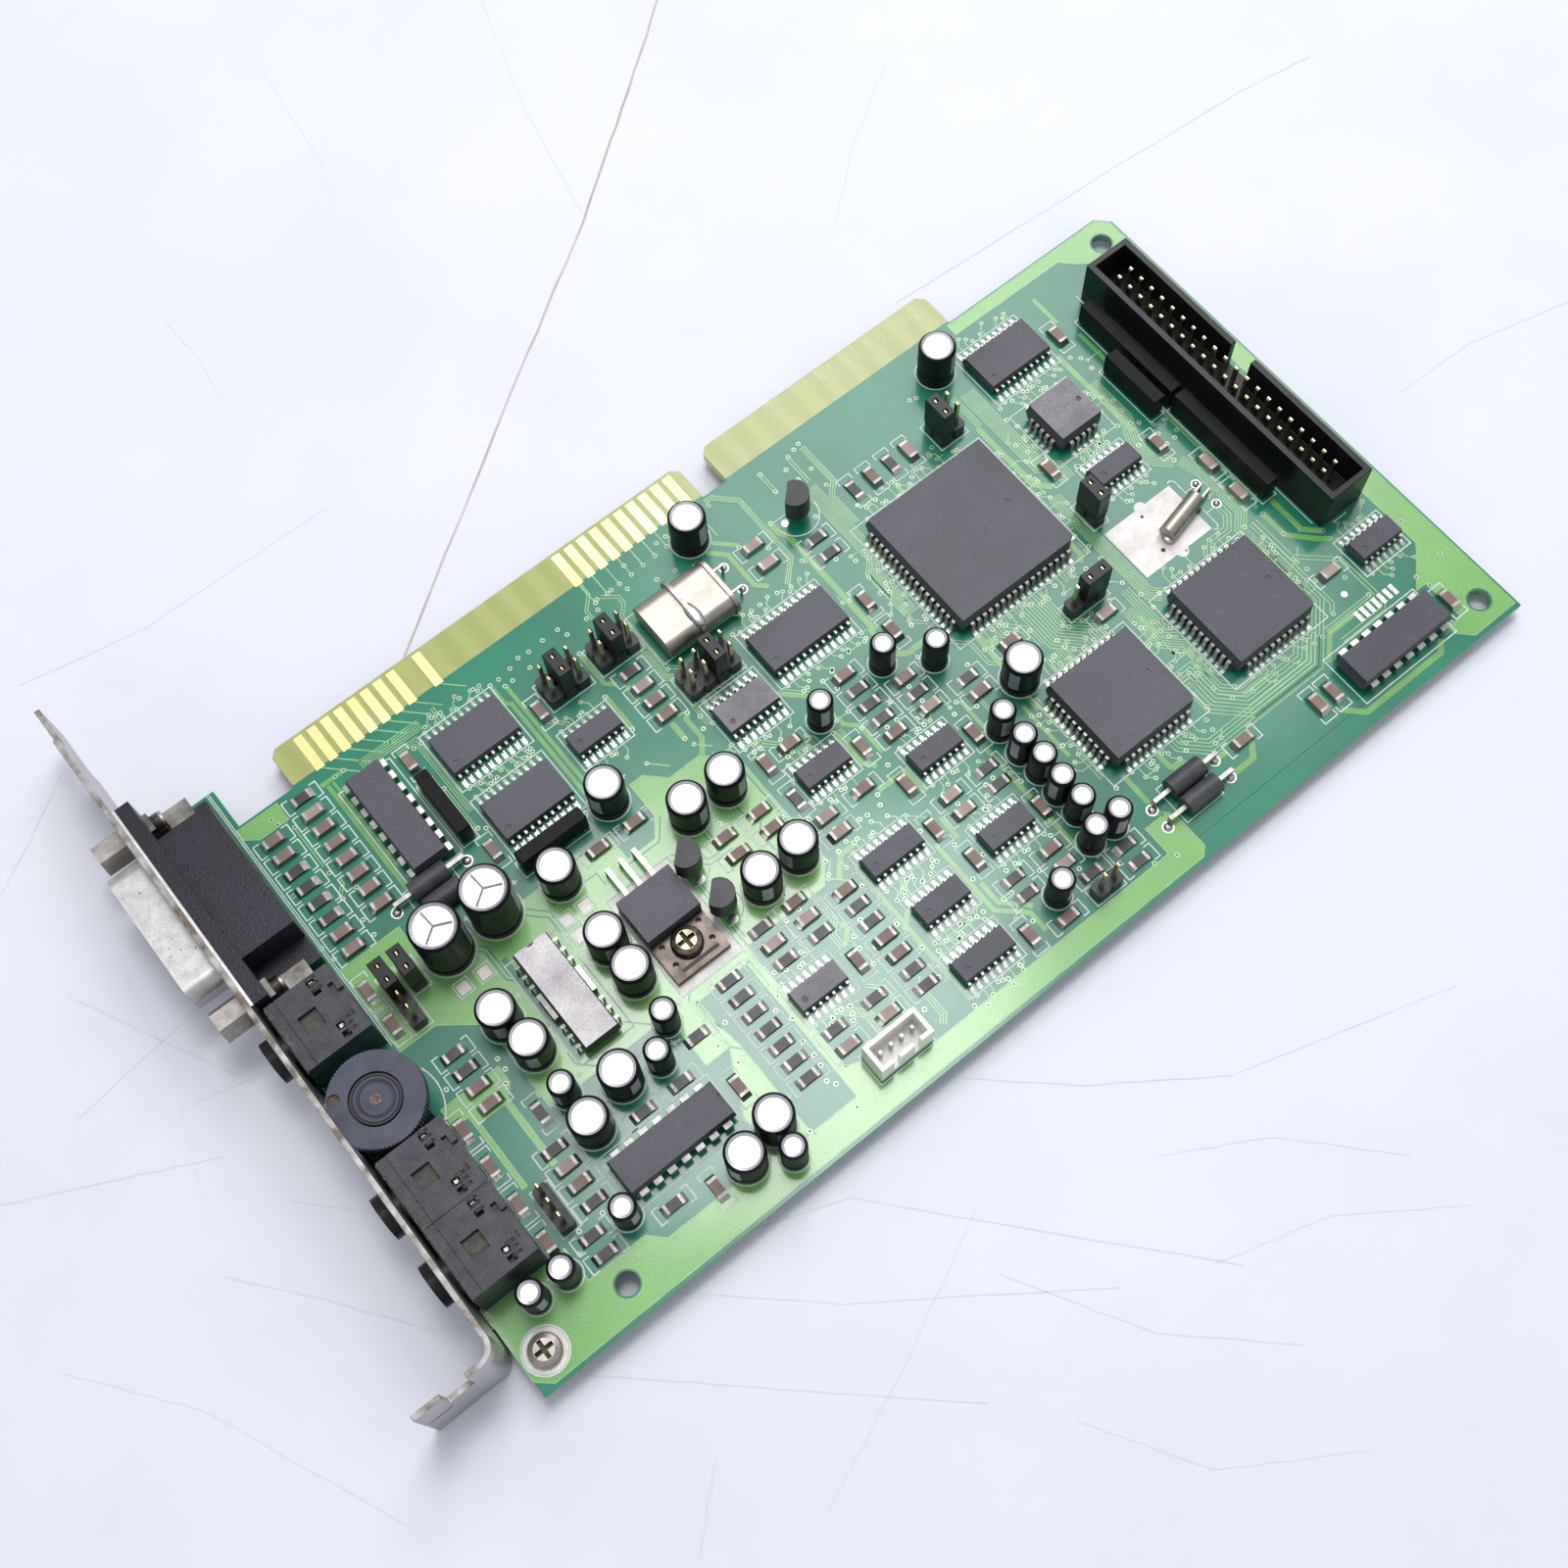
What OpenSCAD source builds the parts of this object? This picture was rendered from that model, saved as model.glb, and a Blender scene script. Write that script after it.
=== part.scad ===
// Sound card for a desktop computer's expansion slot, lying on its solder side.
// X runs along the slot edge away from the metal bracket, +Y points at the contact tongues,
// +Z points away from the component side. The origin is at the centre of the first contact,
// at the root of its tongue, on the component side.

/* [Board] */
// Length of the board along the slot edge
board_len = 193.4; // [186:0.1:215]
// Height of the board from its plain edge to the root of the tongues
board_h = 99.06; // [97:0.01:110]
// Thickness of the board
board_t = 1.6; // [1.2:0.1:2.4]
// Radius of the mounting holes in the board
board_hole_r = 1.75; // [1.5:0.05:2]
// Length of the chamfer at the board's free corner
corner_cut = 2.3; // [1:0.1:6]
// Width of the board's ear beside the tongues
ear_w = 13; // [12.5:0.1:13.8]
// How far the joystick port's flange reaches past the ear
flange_over = 0.4; // [0:0.1:1]

/* [Slot contacts] */
// Pitch of the contacts
contact_pitch = 2.54; // [2.4:0.01:2.6]
// Width of one contact
contact_w = 1.58; // [1.2:0.01:1.8]
// Length of one contact
contact_len = 6.9; // [5:0.1:7.2]
// Thickness of the plating that stands on the board
contact_t = 0.05; // [0.03:0.01:0.1]
// Length of the tongues
tongue_len = 7.5; // [7.4:0.1:9]
// Board left beside the outermost contacts
tongue_margin = 2.6; // [1.5:0.1:3]
// Gap between the last contact of one tongue and the first of the next
tongue_step = 10.16; // [9:0.01:12]
// Length of the chamfer at the tongues' corners
tongue_cut = 1.2; // [0.5:0.1:2]

/* [Bracket] */
// Width of the bracket
bracket_w = 18.4; // [17.8:0.1:19]
// Thickness of the bracket's sheet
bracket_t = 0.9; // [0.7:0.05:1.1]
// Gap between the bracket and the board's edge
bracket_gap = 0.4; // [0.2:0.05:0.8]
// How far the bracket reaches below the component side
bracket_drop = 4.5; // [4:0.1:5]
// Distance from the root of the tongues to the tip of the bracket
bracket_reach = 31.4; // [29:0.1:35]
// Length of the narrow tip
tip_len = 8.6; // [5:0.1:12]
// Width of the narrow tip
tip_w = 10.2; // [8:0.1:12]
// Distance from the root of the tongues to the bracket's folded tab
tab_y = 92.6; // [92:0.1:96]
// Distance that the tab stands out from the board's side of the bracket
tab_len = 14.1; // [12:0.1:16]
// Radius of the fold
fold_r = 3; // [2:0.1:4]
// Width of the notch for the case screw
notch_w = 4.2; // [3.6:0.1:5]
// Depth of the notch
notch_deep = 6; // [4:0.1:7]
// Height of the slot in the end of the tab
slit_h = 1.3; // [0.8:0.1:2]
// Depth of the slot in the end of the tab
slit_deep = 4.4; // [2:0.1:6]

/* [Joystick port] */
// Pitch of the port's contacts
port_pitch = 2.77; // [2.7:0.01:2.8]
// Length of the shell past its outermost contacts
shell_margin = 2.805; // [2.6:0.005:3]
// Distance from the end of the shell to a jackscrew's axis
screw_inset = 4.16; // [4:0.01:4.4]
// Length of the flange past a jackscrew's axis
flange_end = 2.64; // [2.4:0.01:3]
// Height of the port's middle above the board
port_z = 6.3; // [6:0.1:7]
// Height of the port's flange
flange_h = 12.4; // [12:0.1:13]
// Thickness of the plastic flange
flange_t = 2.4; // [1.5:0.1:3]
// Thickness of the metal shell
shell_t = 0.4; // [0.3:0.05:0.6]
// Height of the shell
shell_h = 8.4; // [8:0.1:8.8]
// Radius of the shell's corners
port_round = 2.2; // [1.5:0.1:2.6]
// How far the shell stands out of the bracket
shell_reach = 5.8; // [5:0.1:7]
// Length of the housing behind the flange
port_deep = 9; // [8:0.1:10.5]
// How much shorter than the shell the housing is at each end
housing_inset = 0.7; // [0.2:0.1:1.5]
// Height of the housing behind the flange
port_h = 11; // [10:0.1:12]
// Distance across the flats of a jackscrew's head
screw_flats = 5; // [4.5:0.1:5.2]
// Length of a jackscrew's head
screw_head = 5.1; // [4:0.1:6]
// Radius of a jackscrew's thread
screw_r = 1.4; // [1.2:0.05:1.5]
// Radius of the threaded hole in a jackscrew's head
tap_r = 1.15; // [1:0.05:1.3]

/* [Audio jacks] */
// Gap between the port's flange and the jack beside it
jack_gap = 0.65; // [0.1:0.05:1]
// Gap between the two jacks that stand together
jack_seam = 0.1; // [0.05:0.05:0.5]
// Width of a jack
jack_w = 11.9; // [11:0.1:12]
// Length of a jack behind the bracket
jack_len = 11.3; // [10:0.1:12]
// Height of a jack
jack_h = 10.5; // [9.5:0.1:11]
// Radius of a jack's barrel
barrel_r = 3.5; // [3:0.1:4]
// How far a barrel stands out of the bracket
barrel_reach = 1.9; // [1:0.1:3]
// Radius of the bore for the plug
plug_r = 1.8; // [1.75:0.01:1.9]
// Depth of the bore for the plug
plug_deep = 13.5; // [12:0.1:14]
// Height of the bore above the board
plug_z = 5.6; // [5:0.1:6]

/* [Volume wheel] */
// Gap between the wheel and the jack towards the port
wheel_above = 2.15; // [1:0.05:3]
// Gap between the wheel and the pair of jacks
wheel_below = 0.2; // [0.1:0.05:1]
// Radius of the wheel
wheel_r = 7.3; // [6.8:0.1:7.4]
// Thickness of the wheel
wheel_t = 2.6; // [2:0.1:3]
// Height of the wheel's underside above the board
wheel_z = 8.1; // [7.5:0.1:8.5]
// Distance from the bracket to the wheel's axis
wheel_inset = 6.3; // [6.2:0.1:7]
// Distance from the root of the tongues to the wheel's axis
wheel_y = 52.6; // [52:0.1:53]
// Number of ridges round the wheel
wheel_ridges = 84; // [48:1:100]
// Depth of the ridges
ridge_deep = 0.18; // [0.1:0.01:0.3]
// Radius of the shaft that the wheel sits on
shaft_r = 2; // [1.5:0.1:2.4]
// Running clearance round the shaft
shaft_gap = 0.04; // [0.02:0.01:0.08]
// Width of the control's case
pot_w = 9.8; // [9:0.1:10.4]
// Height of the control's case
pot_h = 5.2; // [4:0.1:5.8]

/* [Box header] */
// Number of contacts in one row of the header
header_rows = 20; // [10:1:21]
// Width of the header
header_w = 8.8; // [8.4:0.1:9.2]
// Height of the header
header_h = 9; // [8.8:0.1:10]
// Wall of the header
header_wall = 1.1; // [0.8:0.1:1.4]
// Thickness of the header's floor
header_floor = 2.6; // [2:0.1:3]
// Length past the outermost contacts
header_end = 4.97; // [3.5:0.01:6]
// Width of the key gap
key_w = 4.5; // [4:0.1:5]

/* [Pins and jumpers] */
// Side of a square pin
pin_w = 0.64; // [0.5:0.01:0.7]
// Height of a pin's tip above the board
pin_top = 8.47; // [8:0.01:8.8]
// Height of a jumper's base
base_h = 2.5; // [2:0.1:3]
// Height of a jumper cap
cap_h = 6.2; // [5.5:0.1:7]
// Width of a jumper cap
cap_w = 2.4; // [2:0.1:2.5]

/* [Capacitors] */
// Radius of the large capacitors
large_r = 4; // [3.5:0.1:4.2]
// Height of the large capacitors
large_h = 12.5; // [11:0.1:13]
// Radius of the medium capacitors
medium_r = 3.15; // [2.8:0.05:3.2]
// Radius of the small capacitors
small_r = 2.1; // [1.8:0.05:2.2]
// Height of the medium and small capacitors
can_h = 8; // [7:0.1:9]

/* [Chips] */
// Pitch of the surface leads
lead_pitch = 1.27; // [1.2:0.01:1.28]
// Thickness of a lead's metal
lead_t = 0.25; // [0.2:0.01:0.3]
// Height of a small-outline chip
soic_h = 2.4; // [1.8:0.1:2.8]
// Height of a square chip with folded leads
square_h = 4.4; // [4:0.1:4.8]
// Height of a chip with leads through the board
dip_h = 4; // [3.6:0.1:4.4]
// Side of the square chip with 68 leads
square_68 = 24.2; // [23.5:0.1:24.6]
// Side of the square chips with 44 leads
square_44 = 16.6; // [16:0.1:16.8]
// Side of the square chip with 20 leads
square_20 = 9; // [8.8:0.1:9.4]
// Length of the wide small-outline chip with 24 leads
wide_24 = 15.4; // [15:0.1:15.8]
// Length of the wide small-outline chips with 20 leads
wide_20 = 12.8; // [12.4:0.1:13.2]
// Width of the wide small-outline chips
wide_w = 7.5; // [7.2:0.1:7.8]
// Width over the leads of the wide small-outline chips
wide_span = 10.3; // [10:0.1:10.6]
// Length of the narrow small-outline chips with 16 leads
slim_16 = 9.9; // [9.7:0.1:10.2]
// Length of the narrow small-outline chips with 14 leads
slim_14 = 8.7; // [8.5:0.1:8.9]
// Width of the narrow small-outline chips
slim_w = 3.9; // [3.7:0.1:4.1]
// Width over the leads of the narrow small-outline chips
slim_span = 6; // [5.8:0.1:6.2]
// Width of the converter chip
medium_w = 5.3; // [5:0.1:5.6]
// Width over the leads of the converter chip
medium_span = 8.6; // [8:0.1:9]
// Length of the timer chip
dip_16 = 19.3; // [18.8:0.1:19.8]
// Length of the preamplifier and the line driver
dip_14 = 19; // [18.6:0.1:19.4]
// Length of the power amplifier
amp_len = 18.8; // [18:0.1:19.4]
// Length of a small surface part
smd_len = 3.2; // [2.9:0.1:3.3]
// Width of a small surface part
smd_w = 1.6; // [1.4:0.1:1.7]
// Height of a small resistor
resistor_h = 0.6; // [0.4:0.05:0.8]
// Height of a small capacitor
ceramic_h = 1.1; // [0.8:0.1:1.3]

/* [Hidden] */
$fn = 48;

// One overrun serves every cut
over = 1;

// The layout: places on the board are shares of a unit that follows the board's length and height
left_share = 0.259;
right_share = 1.675;
bottom_share = 0.9906;
layout_x = board_len / (left_share + right_share);
layout_y = board_h / bottom_share;
function at(s) = [s[0] * layout_x, s[1] * layout_y, 0];
function run(start, n, step) = [for (i = [0:n - 1]) start + i * step];

board_left = -left_share * layout_x;
board_right = right_share * layout_x;
board_bottom = -board_h;

// Contacts by their number in the row; the rest of each row has no plating
low_row = 31;
high_row = 18;
component_contacts = concat([for (i = [2:9]) i], [11], [for (i = [22:31]) i]);
solder_contacts = concat([1, 2, 3, 4, 6, 7, 9, 10], [for (i = [13:18]) i], [for (i = [21:25]) i], [29, 30, 31]);
solder_contacts_high = [3, 5, 8, 16, 18];
high_start = (low_row - 1) * contact_pitch + tongue_step;

// Bracket planes
bracket_in = board_left - bracket_gap;
bracket_out = bracket_in - bracket_t;
bracket_low = -bracket_drop;
bracket_top = bracket_w - bracket_drop;
tab_end = bracket_in - tab_len;
foot_len = 7.8;
foot_pad = 6.4;
foot_arm = 4.4;
foot_arm_w = 14;
foot_y = 97.1;
foot_screw_in = 3.8;
bracket_screw = [board_left + foot_screw_in, foot_pad / 2 - foot_y, 0];
hole_gap = 0.15;

// Planes of the jacks, and the row of small parts that stands behind them
jack_set = 0.7;
jack_front = bracket_in + jack_set;
jack_back = jack_front + jack_len;
row_gap = 0.4;
behind_jacks = (jack_back + row_gap + smd_w / 2) / layout_x;

// Places on the board
mount_hole_shares = [[-0.076, -0.938], [1.63, -0.942], [1.63, -0.046]];
regulator_share = [0.2965, -0.596];
can_gap = 1.1;
can_close = 0.3;
large_shares = [[0.010, -0.373], [0.010 + (2 * large_r + can_gap) / layout_x, -0.372]];
medium_shares = [
    [0.010, -0.516], [0.021, -0.582], [0.020, -0.729], [0.095, -0.701], [0.208, -0.393], [0.204, -0.521],
    [0.204, -0.587], [0.344, -0.333], [0.426, -0.433], [0.426 + (2 * medium_r + can_gap) / layout_x, -0.433],
    [0.443, -0.594], [0.443 + (2 * medium_r + can_gap) / layout_x, -0.590], [0.722, -0.050], [1.239, -0.062],
    [0.974, -0.581], [0.229 - (2 * medium_r + can_close) / layout_x, -0.910], [0.229, -0.893]
];
small_shares = [
    [0.019, -0.665], [0.156, -0.714], [0.199, -0.672], [0.685, -0.436], [0.822, -0.423], [0.891, -0.470],
    [0.892, -0.627], [0.891, -0.677], [0.893, -0.720], [0.891, -0.764], [0.892, -0.808], [0.876, -0.857],
    [0.876 + (2 * small_r + can_close) / layout_x, -0.859], [0.780, -0.889], [-0.189, -0.875], [-0.135, -0.875], [-0.018, -0.862], [0.222, -0.9465]
];
smd_step_share = [0, -0.0316];
resistor_h_shares = concat(
    run([-0.1005, -0.121], 4, smd_step_share), [[-0.0265, -0.025]], run([-0.077, -0.510], 2, smd_step_share),
    [[-0.044, -0.719], [-0.044, -0.816], [-0.075, -0.853], [-0.075, -0.886], [0.090, -0.757], [0.160, -0.757]],
    [[0.043, -0.892], [0.220, -0.717], [0.503, -0.179], [0.398, -0.646], [0.397, -0.709], [0.464, -0.709]],
    run([0.310, -0.680], 7, smd_step_share), run([0.535, -0.711], 2, smd_step_share),
    [[0.535, -0.840], [0.535, -0.871], [0.386, -0.838], [0.462, -0.838], [0.883, -0.181], [0.883, -0.216]],
    run([0.762, -0.433], 3, smd_step_share), [[0.833, -0.497], [0.910, -0.528], [0.832, -0.664], [0.830, -0.696]],
    [[0.746, -0.827], [0.746, -0.859], [0.844, -0.895], [0.912, -0.895], [0.912, -0.927]]
);
resistor_v_shares = [[-0.028, -0.663], [0.571, -0.517], [0.988, -0.151], [1.066, -0.151]];
ceramic_h_shares = concat(
    run([-0.1005, -0.0575], 2, smd_step_share), run([-0.1005, -0.248], 2, smd_step_share),
    run([-0.0265, -0.0575], 7, smd_step_share), run([-0.077, -0.574], 2, smd_step_share),
    run([-0.044, -0.751], 2, smd_step_share), run([0.503, -0.212], 3, smd_step_share),
    [[0.283, -0.388], [0.353, -0.388], [0.446, -0.497], [0.446, -0.531], [0.513, -0.497], [0.513, -0.531]],
    [[0.621, -0.438], [0.589, -0.569], [0.589, -0.602], [0.463, -0.646], [0.398, -0.678], [0.463, -0.678]],
    [[0.535, -0.680]], run([0.535, -0.776], 2, smd_step_share), [[0.386, -0.870], [0.463, -0.870]],
    [[0.793, -0.127], [0.793, -0.168], [1.154, -0.583], [1.003, -0.524], [0.762, -0.401], [0.762, -0.528]],
    [[0.833, -0.465], [0.833, -0.528], [0.662, -0.569], [0.910, -0.559], [0.760, -0.664], [0.760, -0.696]],
    [[0.820, -0.827], [0.820, -0.859], [0.768, -0.926], [1.480, -0.756], [1.170, -0.881]]
);
ceramic_v_shares = concat(
    [[-0.122, -0.350], [-0.122, -0.417]], run([behind_jacks, -0.613], 4, [0, -0.069]),
    [[0.106, -0.913], [0.222, -0.816], [0.139, -0.082], [0.156, -0.286], [0.350, -0.143], [0.571, -0.442]],
    [[0.479, -0.778], [1.026, -0.151], [1.104, -0.151], [0.872, -0.321], [0.872, -0.389], [1.260, -0.328]],
    [[1.443, -0.141], [1.430, -0.404], [1.469, -0.484], [1.469, -0.556], [0.705, -0.514], [0.718, -0.607]],
    [[0.855, -0.607], [0.704, -0.690], [0.720, -0.766], [0.855, -0.766], [0.705, -0.911]],
    [[1.303, -0.911], [1.335, -0.911], [1.590, -0.912]]
);
gate_shares = [
    [0.394, -0.231], [1.571, -0.761], [1.342, -0.394], [0.406, -0.774],
    [0.635, -0.787], [0.635, -0.504], [0.788, -0.592], [0.788, -0.760]
];
controller_share = [1.073, -0.344];
mixer_share = [1.066, -0.711];
processor_share = [1.323, -0.711];
array_share = [1.339, -0.272];
synthesis_share = [0.752, -0.296];
buffer_shares = [[0.244, -0.116], [0.244, -0.257], [1.347, -0.120]];
converter_share = [0.606, -0.347];
filter_shares = [[0.628, -0.680], [0.628, -0.891]];
timer_share = [0.0705, -0.155];
preamp_share = [0.097, -0.819];
driver_share = [1.463, -0.910];
amp_share = [0.109, -0.546];
transistor_shares = [[0.885, -0.125], [0.372, -0.500], [0.374, -0.582]];
bead_shares = [[1.054, -0.873], [1.054, -0.909], [0.050, -0.269], [0.055, -0.305]];

// Each jumper block: place of its first pin, columns along X, rows along -Y
jumper_blocks = [
    [[0.382, -0.116], 3, 2], [[0.480, -0.117], 3, 2], [[0.560, -0.247], 4, 2], [[1.165, -0.144], 2, 2],
    [[1.257, -0.418], 1, 2], [[1.118, -0.544], 3, 1], [[-0.088, -0.357], 1, 4], [[-0.055, -0.358], 1, 2],
    [[-0.094, -0.764], 1, 3], [[0.832, -0.925], 2, 1]
];
// Each cap: its block, the first pin that it covers as column and row, and whether it lies along X
jumper_cap_seats = [
    [0, 1, 0, false], [1, 1, 0, false], [2, 2, 0, false], [3, 0, 0, false], [4, 0, 0, false],
    [5, 1, 0, true], [6, 0, 0, false], [7, 0, 0, false]
];

// Each resistor network: place of its middle, number of leads, angle
network_seats = [
    [[0.138, -0.188], 5, 90], [[0.234, -0.339], 5, 0], [[1.466, -0.302], 5, 90],
    [[1.501, -0.2525], 9, 90], [[1.501, -0.4815], 9, 90]
];

// Shapes shared by several pieces
module on_board(shares) {
    for (s = shares) {
        translate(at(s))
            children();
    }
}

module centred_box(l, w, low, high) {
    translate([-l / 2, -w / 2, low])
        cube([l, w, high - low]);
}

module across(l) {
    rotate([90, 0, 0])
        linear_extrude(l, center = true)
            children();
}

// Along the bracket, the port and the jacks stand in a row from the wheel's axis
port_low_row = 7;
shell_len = port_low_row * port_pitch + 2 * shell_margin;
jackscrew_step = shell_len + 2 * screw_inset;
flange_len = jackscrew_step + 2 * flange_end;
port_len = shell_len - 2 * housing_inset;
upper_jack_y = wheel_y - wheel_r - wheel_above - jack_w / 2;
lower_jack_y = wheel_y + wheel_r + wheel_below + jack_w / 2;
port_y = upper_jack_y - jack_w / 2 - jack_gap - flange_len / 2;
ear_h = flange_len / 2 - port_y - flange_over;
jack_places = [-upper_jack_y, -lower_jack_y, -lower_jack_y - jack_w - jack_seam];

// Board outline, anticlockwise from the bracket's lower corner
module board_outline() {
    low_end = (low_row - 1) * contact_pitch + tongue_margin;
    high_end = high_start + (high_row - 1) * contact_pitch + tongue_margin;
    polygon([
        [board_left, board_bottom],
        [board_right, board_bottom],
        [board_right, -corner_cut],
        [board_right - corner_cut, 0],
        [high_end, 0],
        [high_end, tongue_len - tongue_cut],
        [high_end - tongue_cut, tongue_len],
        [high_start - tongue_margin + tongue_cut, tongue_len],
        [high_start - tongue_margin, tongue_len - tongue_cut],
        [high_start - tongue_margin, 0],
        [low_end, 0],
        [low_end, tongue_len - tongue_cut],
        [low_end - tongue_cut, tongue_len],
        [tongue_cut - tongue_margin, tongue_len],
        [-tongue_margin, tongue_len - tongue_cut],
        [-tongue_margin, 0],
        [board_left + ear_w, 0],
        [board_left + ear_w, ear_h],
        [board_left, ear_h]
    ]);
}

m3_r = 1.5;
module circuit_board() {
    color("seagreen")
        difference() {
            translate([0, 0, -board_t])
                linear_extrude(board_t)
                    board_outline();
            on_board(mount_hole_shares)
                translate([0, 0, -board_t - over])
                    cylinder(r = board_hole_r, h = board_t + 2 * over);
            for (place = [bracket_screw, at(regulator_share)]) {
                translate(place - [0, 0, board_t + over])
                    cylinder(r = m3_r + hole_gap, h = board_t + 2 * over);
            }
        }
}

module contact(x, low) {
    translate([x - contact_w / 2, 0, low])
        cube([contact_w, contact_len, contact_t]);
}

module edge_contacts() {
    color("gold") {
        for (i = component_contacts) {
            contact((i - 1) * contact_pitch, 0);
        }
        for (i = solder_contacts) {
            contact((i - 1) * contact_pitch, -board_t - contact_t);
        }
        for (i = solder_contacts_high) {
            contact(high_start + (i - 1) * contact_pitch, -board_t - contact_t);
        }
    }
}

// Bracket: one folded sheet with its openings, seen along its fold as a plan that is raised in Z
module bracket_plan() {
    fold_x = bracket_in - fold_r;
    fold_y = -tab_y + fold_r;
    translate([bracket_out, fold_y])
        square([bracket_t, bracket_reach - fold_y]);
    translate([fold_x, fold_y])
        intersection() {
            difference() {
                circle(r = fold_r);
                circle(r = fold_r - bracket_t);
            }
            translate([0, -fold_r])
                square([fold_r, fold_r]);
        }
    translate([tab_end, -tab_y])
        square([fold_x - tab_end, bracket_t]);
}

// Outline of the port, wide side up with rounded corners, grown by a margin
port_slope = 10;
module port_outline(grow) {
    r = port_round + grow;
    high = shell_h / 2 + grow;
    side = shell_len / 2 + grow - r / cos(port_slope);
    top = side - r * tan(port_slope);
    bottom = side - (2 * high - r) * tan(port_slope);
    out = r * cos(port_slope);
    drop = r * sin(port_slope);
    polygon([
        [-top, high],
        [top, high],
        [top + out, high - r - drop],
        [bottom + out, r - high - drop],
        [bottom, -high],
        [-bottom, -high],
        [-bottom - out, r - high - drop],
        [-top - out, high - r - drop]
    ]);
    for (way = [-1, 1]) {
        translate([way * top, high - r])
            circle(r = r);
        translate([way * bottom, r - high])
            circle(r = r);
    }
}

module along_x(from, to) {
    translate([from, 0, 0])
        rotate([90, 0, 90])
            linear_extrude(to - from)
                children();
}

wheel_x = bracket_in + wheel_inset;
wheel_slot_gap = 0.8;
wheel_slot = 2 * sqrt(pow(wheel_r, 2) - pow(wheel_inset, 2)) + 4 * wheel_slot_gap;

module bracket() {
    tip_low = (bracket_low + bracket_top - tip_w) / 2;
    notch_x = tab_end + slit_deep + notch_w / 2 + hole_gap;
    color("silver") {
        difference() {
            translate([0, 0, bracket_low])
                linear_extrude(bracket_w)
                    bracket_plan();
            translate([bracket_out - over, bracket_reach - tip_len, bracket_low - over])
                cube([bracket_t + 2 * over, tip_len + over, tip_low - bracket_low + over]);
            translate([bracket_out - over, bracket_reach - tip_len, tip_low + tip_w])
                cube([bracket_t + 2 * over, tip_len + over, bracket_w]);
            translate([notch_x - notch_w / 2, -tab_y - over, bracket_top - notch_deep])
                cube([notch_w, bracket_t + 2 * over, notch_deep + over]);
            translate([tab_end - over, -tab_y - over, (bracket_low + bracket_top - slit_h) / 2])
                cube([slit_deep + over, bracket_t + 2 * over, slit_h]);
            translate([0, -port_y, port_z])
                along_x(bracket_out - over, bracket_in + over)
                    port_outline(hole_gap);
            for (side = [-1, 1]) {
                translate([bracket_out - over, -port_y + side * jackscrew_step / 2, port_z])
                    rotate([0, 90, 0])
                        cylinder(r = screw_r + hole_gap, h = bracket_t + 2 * over);
            }
            for (y = jack_places) {
                translate([bracket_out - over, y, plug_z])
                    rotate([0, 90, 0])
                        cylinder(r = barrel_r + hole_gap, h = bracket_t + 2 * over);
            }
            translate([bracket_out - over, -wheel_y - wheel_slot / 2, wheel_z - wheel_slot_gap])
                cube([bracket_t + 2 * over, wheel_slot, wheel_t + 2 * wheel_slot_gap]);
        }
        difference() {
            translate([bracket_in, -foot_y, -board_t - bracket_t]) {
                cube([foot_len, foot_pad, bracket_t]);
                cube([foot_arm, foot_arm_w, bracket_t]);
            }
            translate([bracket_in - over, -foot_y - over, -board_t - bracket_t - over])
                cube([bracket_gap + over, foot_y - tab_y + 2 * fold_r + over, bracket_t + 2 * over]);
            translate(bracket_screw - [0, 0, board_t + bracket_t + over])
                cylinder(r = m3_r, h = bracket_t + 2 * over);
        }
    }
}

// Pan head screw with a cross recess, head seated at z = 0
pan_r = 2.55;
pan_h = 1.7;
cross_len = 3;
cross_w = 0.7;
cross_deep = 0.9;
module pan_head_screw(shank) {
    difference() {
        rotate_extrude()
            polygon([
                [0, -shank],
                [m3_r, -shank],
                [m3_r, 0],
                [pan_r, 0],
                [pan_r, pan_h * 0.45],
                [pan_r * 0.9, pan_h * 0.8],
                [pan_r * 0.62, pan_h],
                [0, pan_h]
            ]);
        for (turn = [0, 90]) {
            rotate(turn)
                centred_box(cross_len, cross_w, pan_h - cross_deep, pan_h + over);
        }
    }
}

tab_t = 1.3;
module pan_head_screws() {
    color("lightgray") {
        translate(bracket_screw)
            pan_head_screw(board_t + bracket_t);
        translate(at(regulator_share) + [0, 0, tab_t])
            pan_head_screw(tab_t + board_t);
    }
}

// Joystick port: plastic housing, metal shell, contacts, jackscrews and board locks
port_front = bracket_in + shell_t;
port_back = port_front + flange_t;
port_row_gap = 2.84;
port_hole_r = 0.65;
function port_row(n, z) = [for (i = [0:n - 1]) [(i - (n - 1) / 2) * port_pitch, z]];
port_spots = concat(port_row(port_low_row + 1, port_row_gap / 2), port_row(port_low_row, -port_row_gap / 2));
insert_front = bracket_out - shell_reach + shell_t;
wing_h = 4.2;
wing_t = 4.4;
lock_w = 3.2;

module jackscrew_holes(from, to) {
    for (side = [-1, 1]) {
        translate([from, -port_y + side * jackscrew_step / 2, port_z])
            rotate([0, 90, 0])
                cylinder(r = screw_r + hole_gap, h = to - from);
    }
}

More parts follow.
